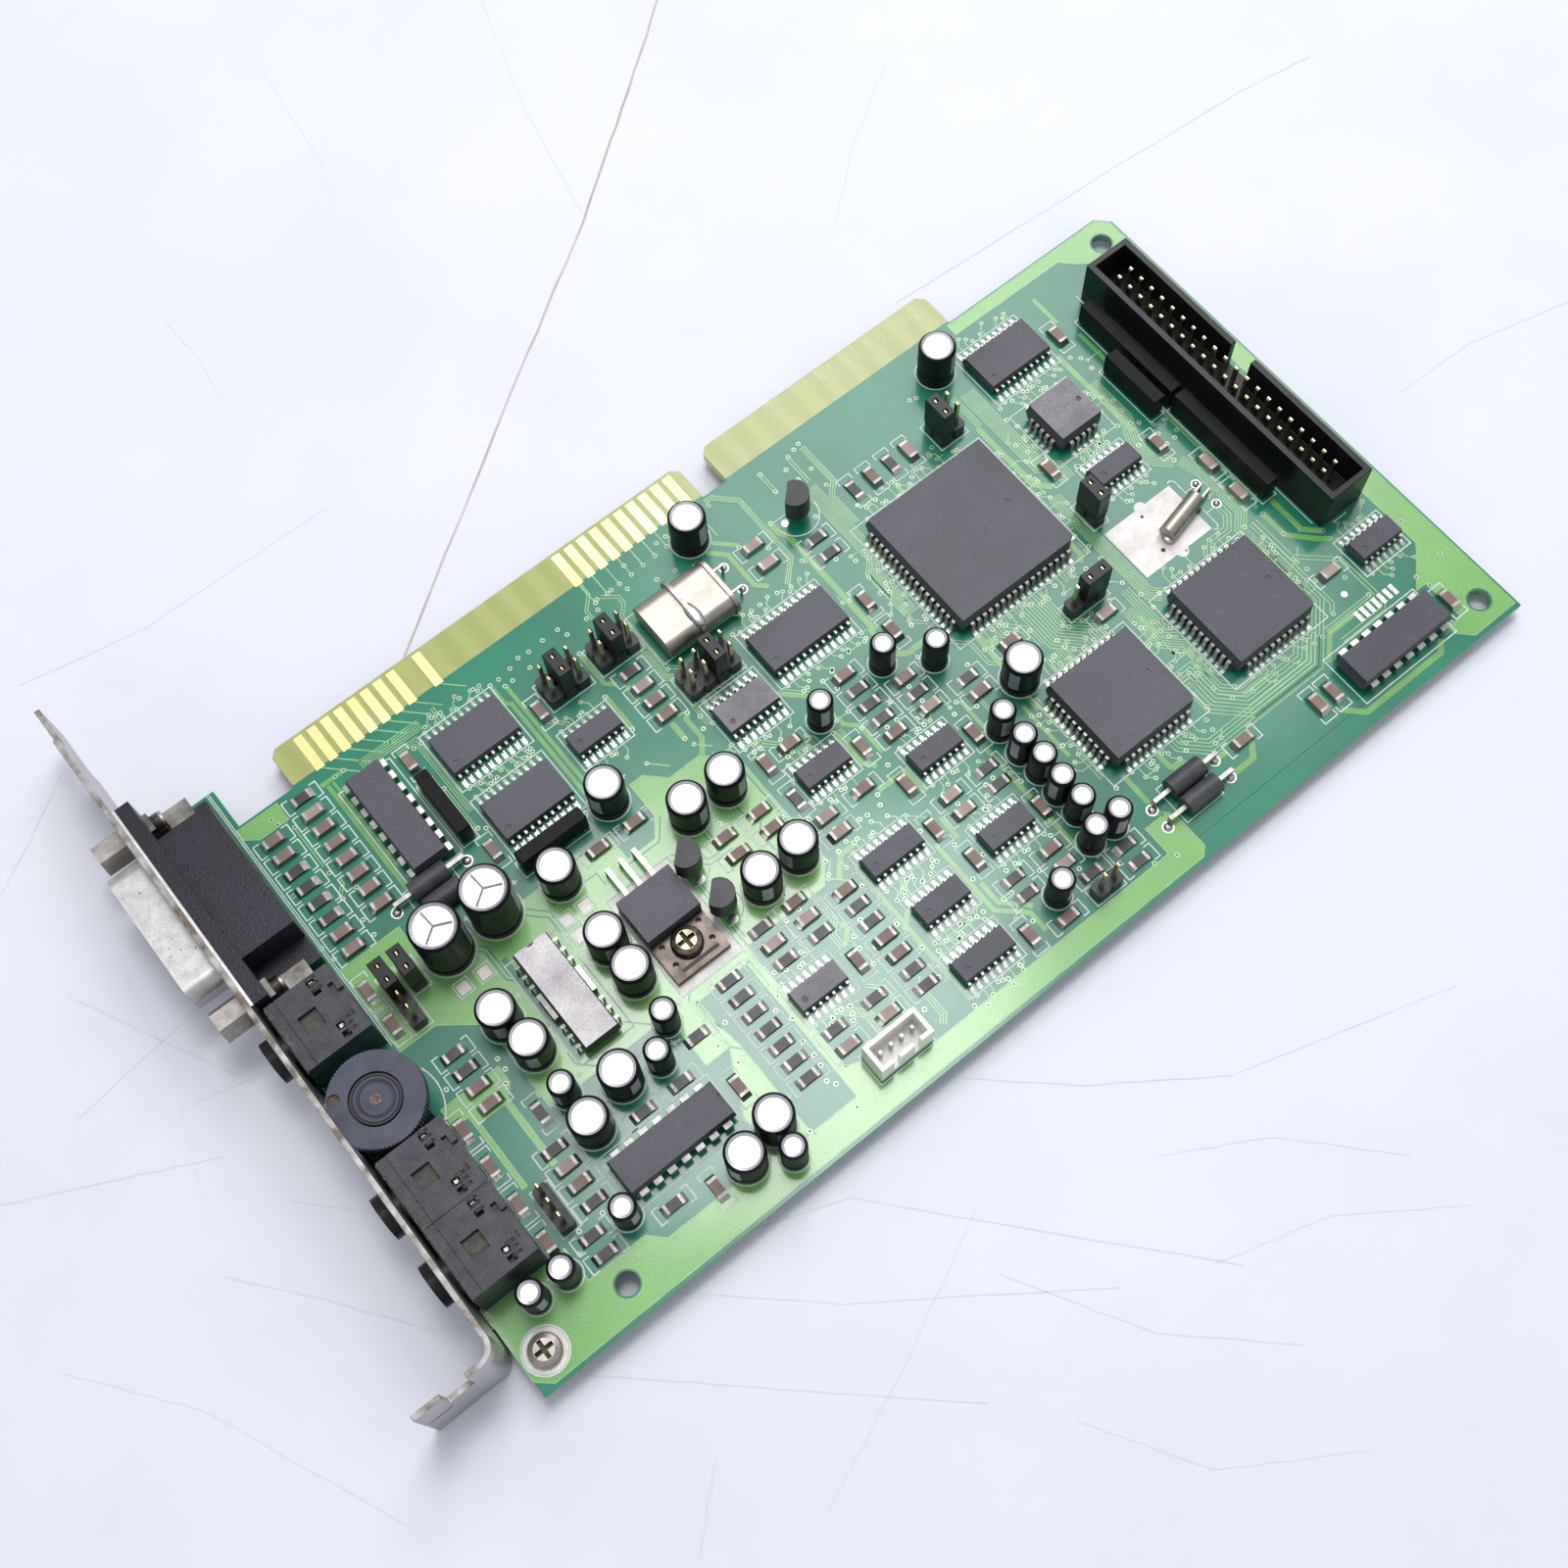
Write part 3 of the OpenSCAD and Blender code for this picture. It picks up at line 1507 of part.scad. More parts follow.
module solder_joints() {
    color("silver") {
        for (block = jumper_blocks) {
            for (column = [0:block[1] - 1]) {
                for (row = [0:block[2] - 1]) {
                    translate(block_spot(block, column, row))
                        joint(joint_h);
                }
            }
        }
        on_board(large_shares)
            lead_row(2, large_r);
        on_board(medium_shares)
            lead_row(2, contact_pitch);
        on_board(small_shares)
            lead_row(2, contact_pitch * 0.75);
        on_board(bead_shares)
            lead_row(2, bead_span - 2 * wire_r);
        for (seat = network_seats) {
            translate(at(seat[0]))
                rotate(seat[2])
                    lead_row(seat[1], contact_pitch);
        }
        for (seat = dip_seats) {
            translate(at(seat[0]))
                rotate(seat[2])
                    for (side = [-1, 1]) {
                        translate([0, side * dip_row / 2, 0])
                            lead_row(seat[1], contact_pitch);
                    }
        }
        translate(at(amp_share))
            for (side = [-1, 1]) {
                for (end = [-1:1]) {
                    translate([side * dip_row / 2, end * amp_side_step, 0])
                        rotate(90)
                            lead_row(end == 0 ? 1 : 3, contact_pitch * 0.75);
                }
            }
        translate(at(regulator_share) + [0, regulator_hole_in + regulator_body + regulator_run, 0])
            lead_row(3, contact_pitch);
        wafer_places()
            joint(joint_h);
        for (row = [0, 1]) {
            translate([port_back + port_deep * 0.45 + row * port_row_gap, -port_y, 0])
                rotate(90)
                    lead_row(port_low_row + row, port_pitch);
        }
        for (y = jack_places) {
            translate([jack_back - jack_len / 3, y, 0])
                rotate(90)
                    lead_row(3, slot_side);
        }
        at_wheel()
            translate([pot_w / 3, 0, 0])
                rotate(90)
                    lead_row(3, contact_pitch);
    }
}

circuit_board();
edge_contacts();
bracket();
pan_head_screws();
game_port_housing();
game_port_shell();
game_port_contacts();
jackscrews();
port_board_locks();
jack(jack_places[1]);  // jack_line
jack(jack_places[2]);  // jack_microphone
jack(jack_places[0]);  // jack_speaker
jack_contacts();
volume_pot();
volume_shaft();
volume_wheel();
wheel_screw();
header_shroud();
square_pins();
wafer_housing();
wafer_pins();
regulator();
small_transistors();
crystal_can();
crystal_strap();
watch_crystal();
large_capacitors();
medium_capacitors();
small_capacitors();
resistor_networks();
choke_beads();
jumper_bases();
jumper_caps();
chip_resistors();
chip_capacitors();
header_joints();
solder_joints();
translate(at(controller_share)) square_chip(68, square_68);  // bus_controller
translate(at(mixer_share)) square_chip(44, square_44);  // mixer_chip
translate(at(processor_share)) square_chip(44, square_44);  // processor_chip
translate(at(array_share)) square_chip(20, square_20);  // logic_array
translate(at(synthesis_share)) soic(24, wide_24, wide_w, wide_span);  // synthesis_chip
translate(at(buffer_shares[0])) soic(20, wide_20, wide_w, wide_span);  // buffer_chip_1
translate(at(buffer_shares[1])) soic(20, wide_20, wide_w, wide_span);  // buffer_chip_2
translate(at(buffer_shares[2])) soic(20, wide_20, wide_w, wide_span);  // buffer_chip_3
translate(at(converter_share)) soic(16, slim_16, medium_w, medium_span);  // converter_chip
translate(at(filter_shares[0])) soic(16, slim_16, slim_w, slim_span);  // filter_chip_1
translate(at(filter_shares[1])) soic(16, slim_16, slim_w, slim_span);  // filter_chip_2
translate(at(gate_shares[0])) soic(14, slim_14, slim_w, slim_span);  // gate_chip_1
translate(at(gate_shares[1])) soic(14, slim_14, slim_w, slim_span);  // gate_chip_2
translate(at(gate_shares[2])) soic(14, slim_14, slim_w, slim_span);  // gate_chip_3
translate(at(gate_shares[3])) soic(14, slim_14, slim_w, slim_span);  // gate_chip_4
translate(at(gate_shares[4])) soic(14, slim_14, slim_w, slim_span);  // gate_chip_5
translate(at(gate_shares[5])) soic(14, slim_14, slim_w, slim_span);  // gate_chip_6
translate(at(gate_shares[6])) soic(14, slim_14, slim_w, slim_span);  // gate_chip_7
translate(at(gate_shares[7])) soic(14, slim_14, slim_w, slim_span);  // gate_chip_8
translate(at(timer_share)) rotate(90) dip(16, dip_16);  // timer_chip
translate(at(amp_share)) rotate(90) heat_tab_chip(amp_len);  // power_amplifier
translate(at(preamp_share)) dip(14, dip_14);  // preamplifier
translate(at(driver_share)) dip(14, dip_14);  // line_driver
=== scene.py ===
# Looks of a sound card for an expansion slot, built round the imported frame. Lengths here are in millimetres
# and pass through MM, so that they can be read beside the part's own drawing.
import math
import random

import bmesh
import bpy
import numpy as np
from mathutils import Matrix, Vector


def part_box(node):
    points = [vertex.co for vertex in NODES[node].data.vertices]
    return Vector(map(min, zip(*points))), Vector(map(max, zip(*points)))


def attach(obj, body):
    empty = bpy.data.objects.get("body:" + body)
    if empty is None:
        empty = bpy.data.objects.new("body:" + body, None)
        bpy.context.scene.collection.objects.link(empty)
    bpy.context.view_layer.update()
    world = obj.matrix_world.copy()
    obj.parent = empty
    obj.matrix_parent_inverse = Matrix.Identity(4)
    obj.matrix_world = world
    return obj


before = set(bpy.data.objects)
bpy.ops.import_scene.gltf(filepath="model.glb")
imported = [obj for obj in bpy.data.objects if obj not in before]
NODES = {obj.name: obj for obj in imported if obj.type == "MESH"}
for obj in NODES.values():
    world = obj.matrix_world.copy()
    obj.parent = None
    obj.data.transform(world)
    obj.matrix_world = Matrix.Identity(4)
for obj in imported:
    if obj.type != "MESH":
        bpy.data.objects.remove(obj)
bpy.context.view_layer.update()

MM = 0.001
CARD = "card"
WHEEL = "volume_control"
JACKS = ("jack_line", "jack_microphone", "jack_speaker")
# Pitch of the leads of a flat chip
PITCH = 1.27


# Nodes and materials. Colours are in steps of 0 to 255
NOISE_RANGE = (0.35, 0.65)
COAT_ROUGHNESS = 0.13
SHADER = "Principled BSDF"


def srgb(*colour):
    def channel(v):
        v /= 255
        return v / 12.92 if v <= 0.04045 else ((v + 0.055) / 1.055) ** 2.4
    return (*map(channel, colour), 1.0)


def feed(node, inputs):
    """Sets a node's inputs to values, or links them to other nodes' outputs."""
    for key, value in inputs.items():
        if isinstance(value, bpy.types.NodeSocket):
            node.id_data.links.new(value, node.inputs[key])
        else:
            node.inputs[key].default_value = value


def add(tree, kind, inputs, out=0, **settings):
    """Adds a node and returns one of its outputs."""
    node = tree.nodes.new("ShaderNode" + kind)
    for key, value in settings.items():
        setattr(node, key, value)
    feed(node, inputs)
    return node.outputs[out]


def maths(tree, kind, first, second=0.0):
    return add(tree, "Math", {0: first, 1: second}, operation=kind)


def noise(tree, place, scale, detail, rough=0.5):
    inputs = {"Vector": place, "Scale": scale, "Detail": detail, "Roughness": rough}
    return add(tree, "TexNoise", inputs, "Fac")


def spread(tree, value, low, high, start, end):
    """Moves a value's range from low and high to start and end."""
    inputs = {"Value": value, "From Min": low, "From Max": high, "To Min": start, "To Max": end}
    return add(tree, "MapRange", inputs)


def tones(tree, factor, first, last, low=0, high=1):
    """A colour between two tones, as the factor goes from low to high."""
    colour = add(tree, "ValToRGB", {"Fac": factor})
    ends = colour.node.color_ramp.elements
    ends[0].position, ends[0].color = low, srgb(*first)
    ends[1].position, ends[1].color = high, srgb(*last)
    return colour


def blend(tree, factor, first, second):
    return add(tree, "Mix", {"Factor": factor, "A": first, "B": second}, "Result", data_type="RGBA")


def part_of(tree, place, axis):
    return add(tree, "SeparateXYZ", {"Vector": place}, axis)


def plain_material(name, colour, rough=0.5, metal=0.0):
    mat = bpy.data.materials.new(name)
    mat.use_nodes = True
    feed(mat.node_tree.nodes[SHADER], {"Base Color": srgb(*colour), "Roughness": rough, "Metallic": metal})
    return mat


def finish(name, light, dark, rough=(0.4, 0.5), metal=0.0, patch=0.15, grain=0.0, grain_step=0.4, coat=0.0,
           spec=0.5, bump_depth=0.05, fleck=0.0, fleck_step=0.16):
    """A material whose colour drifts between two tones in patches (per mm), with fine flecks of lighter and
    darker colour and a fine grain on its surface."""
    mat = plain_material(name, light, rough[0], metal)
    tree = mat.node_tree
    place = add(tree, "TexCoord", {}, "Object")
    drift = noise(tree, place, patch / MM, 5, 0.6)
    colour = tones(tree, drift, dark, light, *NOISE_RANGE)
    if fleck:
        dots = noise(tree, place, 1 / (fleck_step * MM), 2)
        level = spread(tree, dots, *NOISE_RANGE, 1 - fleck, 1 + fleck)
        colour = add(tree, "HueSaturation", {"Value": level, "Color": colour})
    inputs = {"Base Color": colour, "Roughness": spread(tree, drift, 0, 1, rough[1], rough[0]),
              "Coat Weight": coat, "Coat Roughness": COAT_ROUGHNESS, "Specular IOR Level": spec}
    if grain:
        fine = noise(tree, place, 1 / (grain_step * MM), 3)
        inputs["Normal"] = add(tree, "Bump", {"Height": fine, "Strength": grain, "Distance": bump_depth * MM})
    feed(tree.nodes[SHADER], inputs)
    return mat


EPOXY = finish("chip_epoxy", (75, 74, 85), (66, 65, 75), (0.42, 0.5), patch=0.05, grain=0.5,
               grain_step=0.16, fleck=0.24, fleck_step=0.24)
# A lighter grey for the tops of the chips in GREY_TOPS
EPOXY_GREY = finish("lighter_grey_top", (130, 126, 134), (106, 102, 110), (0.4, 0.5), patch=0.12, grain=0.5,
                    grain_step=0.16, fleck=0.2, fleck_step=0.3)
TIN = finish("tinned_lead", (192, 190, 187), (150, 147, 142), (0.34, 0.45), metal=1.0, patch=0.7)
SOLDER = finish("solder_metal", (214, 212, 208), (170, 168, 165), (0.22, 0.4), metal=1.0, patch=1.2,
                grain=0.5, grain_step=0.5)
SMD_END = finish("tinned_end", (176, 172, 168), (138, 134, 130), (0.38, 0.52), metal=0.9, patch=0.9,
                 grain=0.4, grain_step=0.4)
NETWORK = finish("network_coating", (17, 17, 20), (9, 9, 12), (0.4, 0.5), patch=0.2, grain=0.5,
                 grain_step=1.4, spec=0.15, bump_depth=0.1)
PORT_BLACK = finish("port_moulding", (36, 35, 48), (25, 25, 35), (0.3, 0.42), patch=0.08, grain=0.9,
                    grain_step=0.3, spec=0.4, fleck=0.4, fleck_step=0.35)
# Pale top of the power amplifier: painted sheen, the glare that lies on it
AMPLIFIER_SHEEN_TOP = finish("painted_sheen_top", (222, 216, 218), (172, 167, 171), (0.3, 0.45), patch=0.12,
                       grain=0.4, grain_step=0.16, fleck=0.12, fleck_step=0.4)
# Brown stains on a darker grey; on the bracket's up-facing faces the darker grey is painted shade, the brown
# is stain
EDGE_STAIN_AND_SHADE = finish("stained_and_shaded_edge", (184, 181, 180), (112, 100, 88), (0.4, 0.55), metal=0.8, patch=0.35,
                    grain=0.3, grain_step=0.5)
GOLD = finish("gold_metal", (244, 232, 172), (226, 208, 138), (0.3, 0.4), metal=0.8, patch=0.12)
PALE_GOLD = finish("pin_metal", (232, 222, 186), (190, 174, 130), (0.2, 0.3), metal=1.0, patch=0.8)
SLEEVE = finish("can_sleeve", (24, 24, 30), (15, 15, 19), (0.32, 0.42), patch=0.4, spec=0.16)
FOIL_TOP = finish("foil_top", (200, 198, 202), (178, 176, 181), (0.38, 0.46), metal=1.0, patch=1.6,
                  grain=0.3, grain_step=0.5)
CAN_TOP = finish("can_top", (226, 226, 228), (204, 204, 208), (0.34, 0.42), metal=1.0, patch=0.3)
BLACK = finish("black_moulding", (40, 40, 44), (26, 26, 29), (0.35, 0.5), patch=0.15, grain=0.25,
               grain_step=0.2)
GLOSS_BLACK = finish("glossy_moulding", (24, 25, 28), (15, 16, 18), (0.3, 0.4), patch=0.15, grain=0.1,
                     grain_step=0.3, spec=0.35)
DUSTY = finish("dusty_moulding", (60, 59, 70), (44, 43, 52), (0.32, 0.5), patch=0.5, grain=0.5,
               grain_step=0.25, fleck=0.25, fleck_step=0.4)
WHEEL_GREY = finish("wheel_moulding", (77, 79, 98), (62, 63, 79), (0.45, 0.6), patch=0.2, grain=0.3,
                    grain_step=0.3, fleck=0.08, fleck_step=0.3)
STEEL = finish("bracket_sheet", (196, 195, 195), (176, 174, 173), (0.34, 0.44), metal=1.0, patch=0.12,
               grain=0.2, grain_step=0.6)
SHELL = finish("shell_tin", (214, 213, 213), (190, 188, 187), (0.4, 0.5), metal=1.0, patch=0.5, grain=0.25,
               grain_step=0.35, bump_depth=0.03)
NICKEL = finish("screw_nickel", (150, 145, 124), (104, 98, 80), (0.26, 0.38), metal=1.0, patch=0.6)
TARNISH = finish("hex_nickel", (190, 184, 178), (160, 153, 147), (0.38, 0.5), metal=1.0, patch=0.35,
                 fleck=0.08, fleck_step=0.5)
CRYSTAL = finish("crystal_nickel", (186, 179, 170), (164, 156, 147), (0.36, 0.46), metal=1.0, patch=0.2,
                 fleck=0.05, fleck_step=0.4)
NYLON = finish("wafer_nylon", (246, 245, 240), (238, 236, 228), (0.4, 0.5), patch=0.3, grain=0.1)
RESISTOR = finish("resistor_glaze", (62, 58, 60), (46, 43, 45), (0.35, 0.45), patch=0.8)
CERAMIC = finish("capacitor_ceramic", (142, 118, 108), (122, 102, 94), (0.5, 0.6), patch=0.25)
CERAMIC_PALE = finish("capacitor_pale", (176, 158, 152), (156, 136, 130), (0.5, 0.6), patch=0.25)
FERRITE = finish("bead_ferrite", (74, 75, 80), (56, 57, 61), (0.45, 0.55), patch=0.4, grain=0.4)
SILK = finish("silk_ink", (226, 236, 230), (202, 216, 208), (0.55, 0.65), patch=0.8)
COPPER = finish("covered_copper", (126, 190, 98), (110, 174, 86), (0.3, 0.36), patch=0.03, coat=0.8,
                grain=0.5, grain_step=0.3, fleck=0.07, fleck_step=0.35)
TRACK = finish("covered_track", (114, 178, 94), (100, 162, 84), (0.28, 0.36), patch=0.2, coat=0.5)
TRACE = finish("covered_trace", (150, 198, 134), (126, 178, 116), (0.28, 0.36), patch=0.2, coat=0.5)
TINNED = finish("tinned_area", (228, 224, 221), (210, 205, 202), (0.45, 0.6), metal=0.3, patch=0.3,
                grain=0.9, grain_step=1.2, bump_depth=0.1)
RUST = finish("dusty_contact", (104, 92, 80), (72, 61, 52), (0.6, 0.75), metal=0.2, patch=0.8, grain=0.8)
# Grey of the score lines in the can tops: painted shade in their grooves
SCORE_SHADE = plain_material("score_shadow", (112, 108, 108), 0.5, 0.5)
# Dark brown in the screws' cross recesses: painted shade
RECESS_SHADE = finish("painted_recess_shade", (96, 86, 66), (54, 46, 34), (0.45, 0.6), metal=0.7, patch=0.9)
HUB = finish("wheel_hub", (40, 41, 54), (30, 31, 42), (0.16, 0.26), patch=0.3, coat=0.7)
RUSTY_SCREW = finish("rusty_screw", (132, 118, 104), (74, 62, 54), (0.4, 0.6), metal=0.7, patch=1.5,
                     grain=0.6)
LOCK = finish("lock_steel", (160, 157, 152), (104, 99, 94), (0.3, 0.42), metal=1.0, patch=0.25)
VIA = finish("via_rim", (178, 200, 172), (150, 174, 146), (0.25, 0.4), metal=0.3, patch=1.0)
# Dim brown that closes the openings in the jacks' steps: painted shade of their insides
WINDOW_SHADE = finish("painted_window_shade", (88, 84, 76), (60, 57, 52), (0.5, 0.65), patch=0.9, grain=0.8)
TONGUE_MARK = finish("tongue_mark", (226, 228, 190), (198, 203, 150), (0.4, 0.5), patch=0.8)
# Dark green-black of via holes, other holes and the tab's slot: painted shade
HOLE_SHADE = plain_material("via_hole", (28, 44, 34), 0.5)
# Black for the insides of slots and grooves: painted shade
SHADE_BLACK = plain_material("painted_shade_black", (10, 11, 13), 0.6)
MASK_LIGHT, MASK_DARK = (8, 132, 101), (7, 115, 88)
MASKED_GREEN = finish("masked_ground", MASK_LIGHT, MASK_DARK, (0.3, 0.36), patch=0.05, coat=0.6, spec=0.4)
TAB = finish("heat_tab", (92, 84, 80), (62, 56, 52), (0.24, 0.4), metal=1.0, patch=0.25)


def add_dust(mat, near, far):
    """Brown dust over a material, thick at X = near and gone at X = far, in mm."""
    tree = mat.node_tree
    shader = tree.nodes[SHADER]
    clean = shader.inputs["Base Color"].links[0].from_socket
    place = add(tree, "TexCoord", {}, "Object")
    fade = spread(tree, part_of(tree, place, "X"), near * MM, far * MM, 0.14, -0.4)
    total = maths(tree, "ADD", noise(tree, place, 0.9 / MM, 7, 0.65), fade)
    cover = spread(tree, total, 0.53, 0.66, 0, 0.8)
    feed(shader, {"Base Color": blend(tree, cover, clean, srgb(108, 94, 80))})


add_dust(DUSTY, -26, -22.6)
add_dust(PORT_BLACK, -27.2, -23.6)


def board_material():
    """Green mask, with bare laminate on the tongues and a paler green on the cut edges."""
    mat = finish("laminate", MASK_LIGHT, MASK_DARK, (0.3, 0.36), patch=0.05, grain=0.12, grain_step=0.5,
                 coat=0.6, spec=0.4)
    tree = mat.node_tree
    shader = tree.nodes[SHADER]
    masked_colour = shader.inputs["Base Color"].links[0].from_socket
    place = add(tree, "TexCoord", {}, "Object")
    beyond = maths(tree, "GREATER_THAN", part_of(tree, place, "Y"), 0.35 * MM)
    inward = maths(tree, "GREATER_THAN", part_of(tree, place, "X"), -8 * MM)
    wave = {"Vector": place, "Scale": 62, "Distortion": 1.5}
    streak = add(tree, "TexWave", wave, "Fac", bands_direction="X")
    bare = tones(tree, streak, (164, 171, 98), (175, 182, 110))
    colour = blend(tree, maths(tree, "MULTIPLY", beyond, inward), masked_colour, bare)
    facing = part_of(tree, add(tree, "TexCoord", {}, "Normal"), "Z")
    side = maths(tree, "LESS_THAN", maths(tree, "ABSOLUTE", facing), 0.5)
    cut = maths(tree, "MULTIPLY", side, maths(tree, "LESS_THAN", beyond, 0.5))
    feed(shader, {"Base Color": blend(tree, cut, colour, srgb(118, 150, 104))})
    return mat


LAMINATE = board_material()


# Solids of a node, read back from the frame
def solids(node):
    """Boxes (low, high), in mm, of the separate solids in a CAD node."""
    mesh = NODES[node].data
    points = np.array([v.co for v in mesh.vertices]) / MM
    keys = [tuple(k) for k in np.round(points, 3)]
    parent = {}

    def root(k):
        while parent[k] != k:
            parent[k] = parent[parent[k]]
            k = parent[k]
        return k

    for k in keys:
        parent.setdefault(k, k)
    for face in mesh.polygons:
        ring = [root(keys[i]) for i in face.vertices]
        for other in ring[1:]:
            parent[other] = ring[0] if other != ring[0] else parent[other]
            ring = [root(k) for k in ring]
    groups = {}
    for k in parent:
        groups.setdefault(root(k), []).append(k)
    boxes = [(np.min(g, axis=0), np.max(g, axis=0)) for g in groups.values()]
    return sorted(boxes, key=lambda b: (round(b[0][0], 2), round(b[0][1], 2)))


def node_box(node):
    return [np.array(corner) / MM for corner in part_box(node)]


def middle(node):
    low, high = node_box(node)
    return (low + high) / 2


def add_object(name, mesh, mat, smooth=False, body=CARD):
    """Puts a mesh into the scene, where it rides a body if one is named."""
    mesh.materials.append(mat)
    if smooth:
        mesh.shade_smooth()
    obj = bpy.data.objects.new(name, mesh)
    bpy.context.scene.collection.objects.link(obj)
    if body:
        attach(obj, body)
    return obj


def around(x, y, r, sides):
    """Corners of a regular figure."""
    turns = (math.tau * i / sides for i in range(sides))
    return [(x + r * math.cos(a), y + r * math.sin(a)) for a in turns]


def mitres(line, closed=False, least=0.0):
    """The points of a line, and at each the normal that keeps an even width round its corner."""
    pts = [np.array(p, float) for p in line]
    n = len(pts)
    normals = []
    for i in range(n):
        before = pts[i - 1] if closed or i else None
        after = pts[(i + 1) % n] if closed or i < n - 1 else None
        turns = []
        for a, b in ((before, pts[i]), (pts[i], after)):
            if a is not None and b is not None:
                d = b - a
                turns.append(np.array([-d[1], d[0]]) / (np.hypot(*d) or 1))
        normal = sum(turns) / len(turns)
        normals.append(normal / max(least, float(normal @ normal)))
    return pts, normals


# Faces of one sheet lie this far apart, in five layers, so that none are in the same plane
STEP = 0.0011
LAYERS = 5
# Least squared length of the mean normal at a corner, which keeps sharp corners short
SHARP_CORNER = 0.35


class Sheet:
    """Flat shapes and small solids gathered into one mesh, in mm."""

    def __init__(self, name, mat, height=0):
        self.name, self.mat, self.height = name, mat, height
        self.points, self.faces = [], []

    def face(self, corners, z=None):
        z = self.height + STEP * (len(self.faces) % LAYERS) if z is None else z
        turn = sum(a[0] * b[1] - b[0] * a[1] for a, b in zip(corners, list(corners[1:]) + [corners[0]]))
        if turn < 0:
            corners = corners[::-1]
        start = len(self.points)
        self.points += [(x, y, z) for x, y in corners]
        self.faces.append(list(range(start, start + len(corners))))

    def rect(self, x0, y0, x1, y1):
        self.face([(x0, y0), (x1, y0), (x1, y1), (x0, y1)])

    def block(self, x, y, half_x, half_y):
        self.rect(x - half_x, y - half_y, x + half_x, y + half_y)

    def disc(self, x, y, r, sides=12):
        self.face(around(x, y, r, sides))

    def arc(self, x, y, r, width, start=0, end=360, sides=48):
        n = max(3, round(sides * (end - start) / 360))
        inner, outer = r - width / 2, r + width / 2
        for i in range(n):
            a, b = (math.radians(start + (end - start) * k / n) for k in (i, i + 1))
            corners = ((inner, a), (outer, a), (outer, b), (inner, b))
            self.face([(x + s * math.cos(t), y + s * math.sin(t)) for s, t in corners])

    def stroke(self, line, width, closed=False):
        """A line of even width with mitred corners."""
        pts, normals = mitres(line, closed, SHARP_CORNER)
        left = [p + normal * width / 2 for p, normal in zip(pts, normals)]
        right = [p - normal * width / 2 for p, normal in zip(pts, normals)]
        n = len(pts)
        for i in range(n if closed else n - 1):
            j = (i + 1) % n
            self.face([right[i], right[j], left[j], left[i]])

    def outline(self, x0, y0, x1, y1, width):
        self.stroke([(x0, y0), (x1, y0), (x1, y1), (x0, y1)], width, closed=True)

    def surround(self, low, high, gap_x, gap_y, width):
        """An outline round a box, at a gap."""
        self.outline(low[0] - gap_x, low[1] - gap_y, high[0] + gap_x, high[1] + gap_y, width)

    def wedge(self, x0, y0, x1, y1, tops):
        """A block on the board whose four upper corners have their own heights."""
        start = len(self.points)
        corners = [(x0, y0), (x1, y0), (x1, y1), (x0, y1)]
        self.points += [(x, y, 0) for x, y in corners]
        self.points += [(x, y, z) for (x, y), z in zip(corners, tops)]
        for f in ((3, 2, 1, 0), (4, 5, 6, 7), (0, 1, 5, 4), (1, 2, 6, 5), (2, 3, 7, 6), (3, 0, 4, 7)):
            self.faces.append([start + i for i in f])

    def fillet(self, x0, y0, x1, y1, upright, side, thin, thick):
        """Solder that rises towards a part, which lies on one side of it."""
        a, b = (thin, thick) if side < 0 else (thick, thin)
        self.wedge(x0, y0, x1, y1, [a, a, b, b] if upright else [a, b, b, a])

    def build(self, body=CARD, smooth=False):
        mesh = bpy.data.meshes.new(self.name)
        mesh.from_pydata([tuple(c * MM for c in p) for p in self.points], [], self.faces)
        mesh.update()
        return add_object(self.name, mesh, self.mat, smooth, body)


# Finishes of the frame's own nodes
def dress(node, mats, choose=None):
    """Gives a CAD node its materials; choose(centre, normal) returns the slot of each face."""
    obj = NODES[node]
    obj.data.materials.clear()
    for m in mats:
        obj.data.materials.append(m)
    for face in obj.data.polygons:
        place, normal = np.array(face.center) / MM, np.array(face.normal)
        face.material_index = choose(place, normal) if choose else 0


def soften(node, width, segments=2):
    """Rounds a node's sharp edges."""
    obj = NODES[node]
    weld = obj.modifiers.new("weld", "WELD")
    weld.merge_threshold = 0.002 * MM
    bevel = obj.modifiers.new("edges", "BEVEL")
    bevel.width = width * MM
    bevel.segments = segments
    bevel.limit_method = "ANGLE"
    bevel.angle_limit = math.radians(40)
    bevel.harden_normals = True


# Chips with leads on two sides, by the width of the body
WIDE, MEDIUM, SLIM = 7.5, 5.3, 3.9
SOIC = {"synthesis_chip": WIDE, "buffer_chip_1": WIDE, "buffer_chip_2": WIDE, "buffer_chip_3": WIDE,
        "converter_chip": MEDIUM, "filter_chip_1": SLIM, "filter_chip_2": SLIM}
SOIC.update({f"gate_chip_{i}": SLIM for i in range(1, 9)})
# Chips with leads on four sides, by the contacts that are drawn on each
SQUARE = {"bus_controller": 17, "mixer_chip": 11, "processor_chip": 11, "logic_array": 5}
SQUARE_LEAD = 0.65
DIP = ["timer_chip", "power_amplifier", "preamplifier", "line_driver"]
DIP_BODY = 6.35
GREY_TOPS = {"converter_chip", "logic_array", "gate_chip_4"}
EDGE_SLACK = 0.02


def dress_chip(node, half_x, half_y):
    centre = middle(node)
    top = node_box(node)[1][2] - 0.05

    def choose(p, n):
        d = np.abs(p - centre)
        if d[0] > half_x + EDGE_SLACK or d[1] > half_y + EDGE_SLACK:
            return 1
        return 2 if n[2] > 0.9 and p[2] > top else 0

    # The power amplifier's pale top is a painted sheen
    top_mat = AMPLIFIER_SHEEN_TOP if node == "power_amplifier" else EPOXY_GREY if node in GREY_TOPS else EPOXY
    dress(node, [EPOXY, TIN, top_mat], choose)


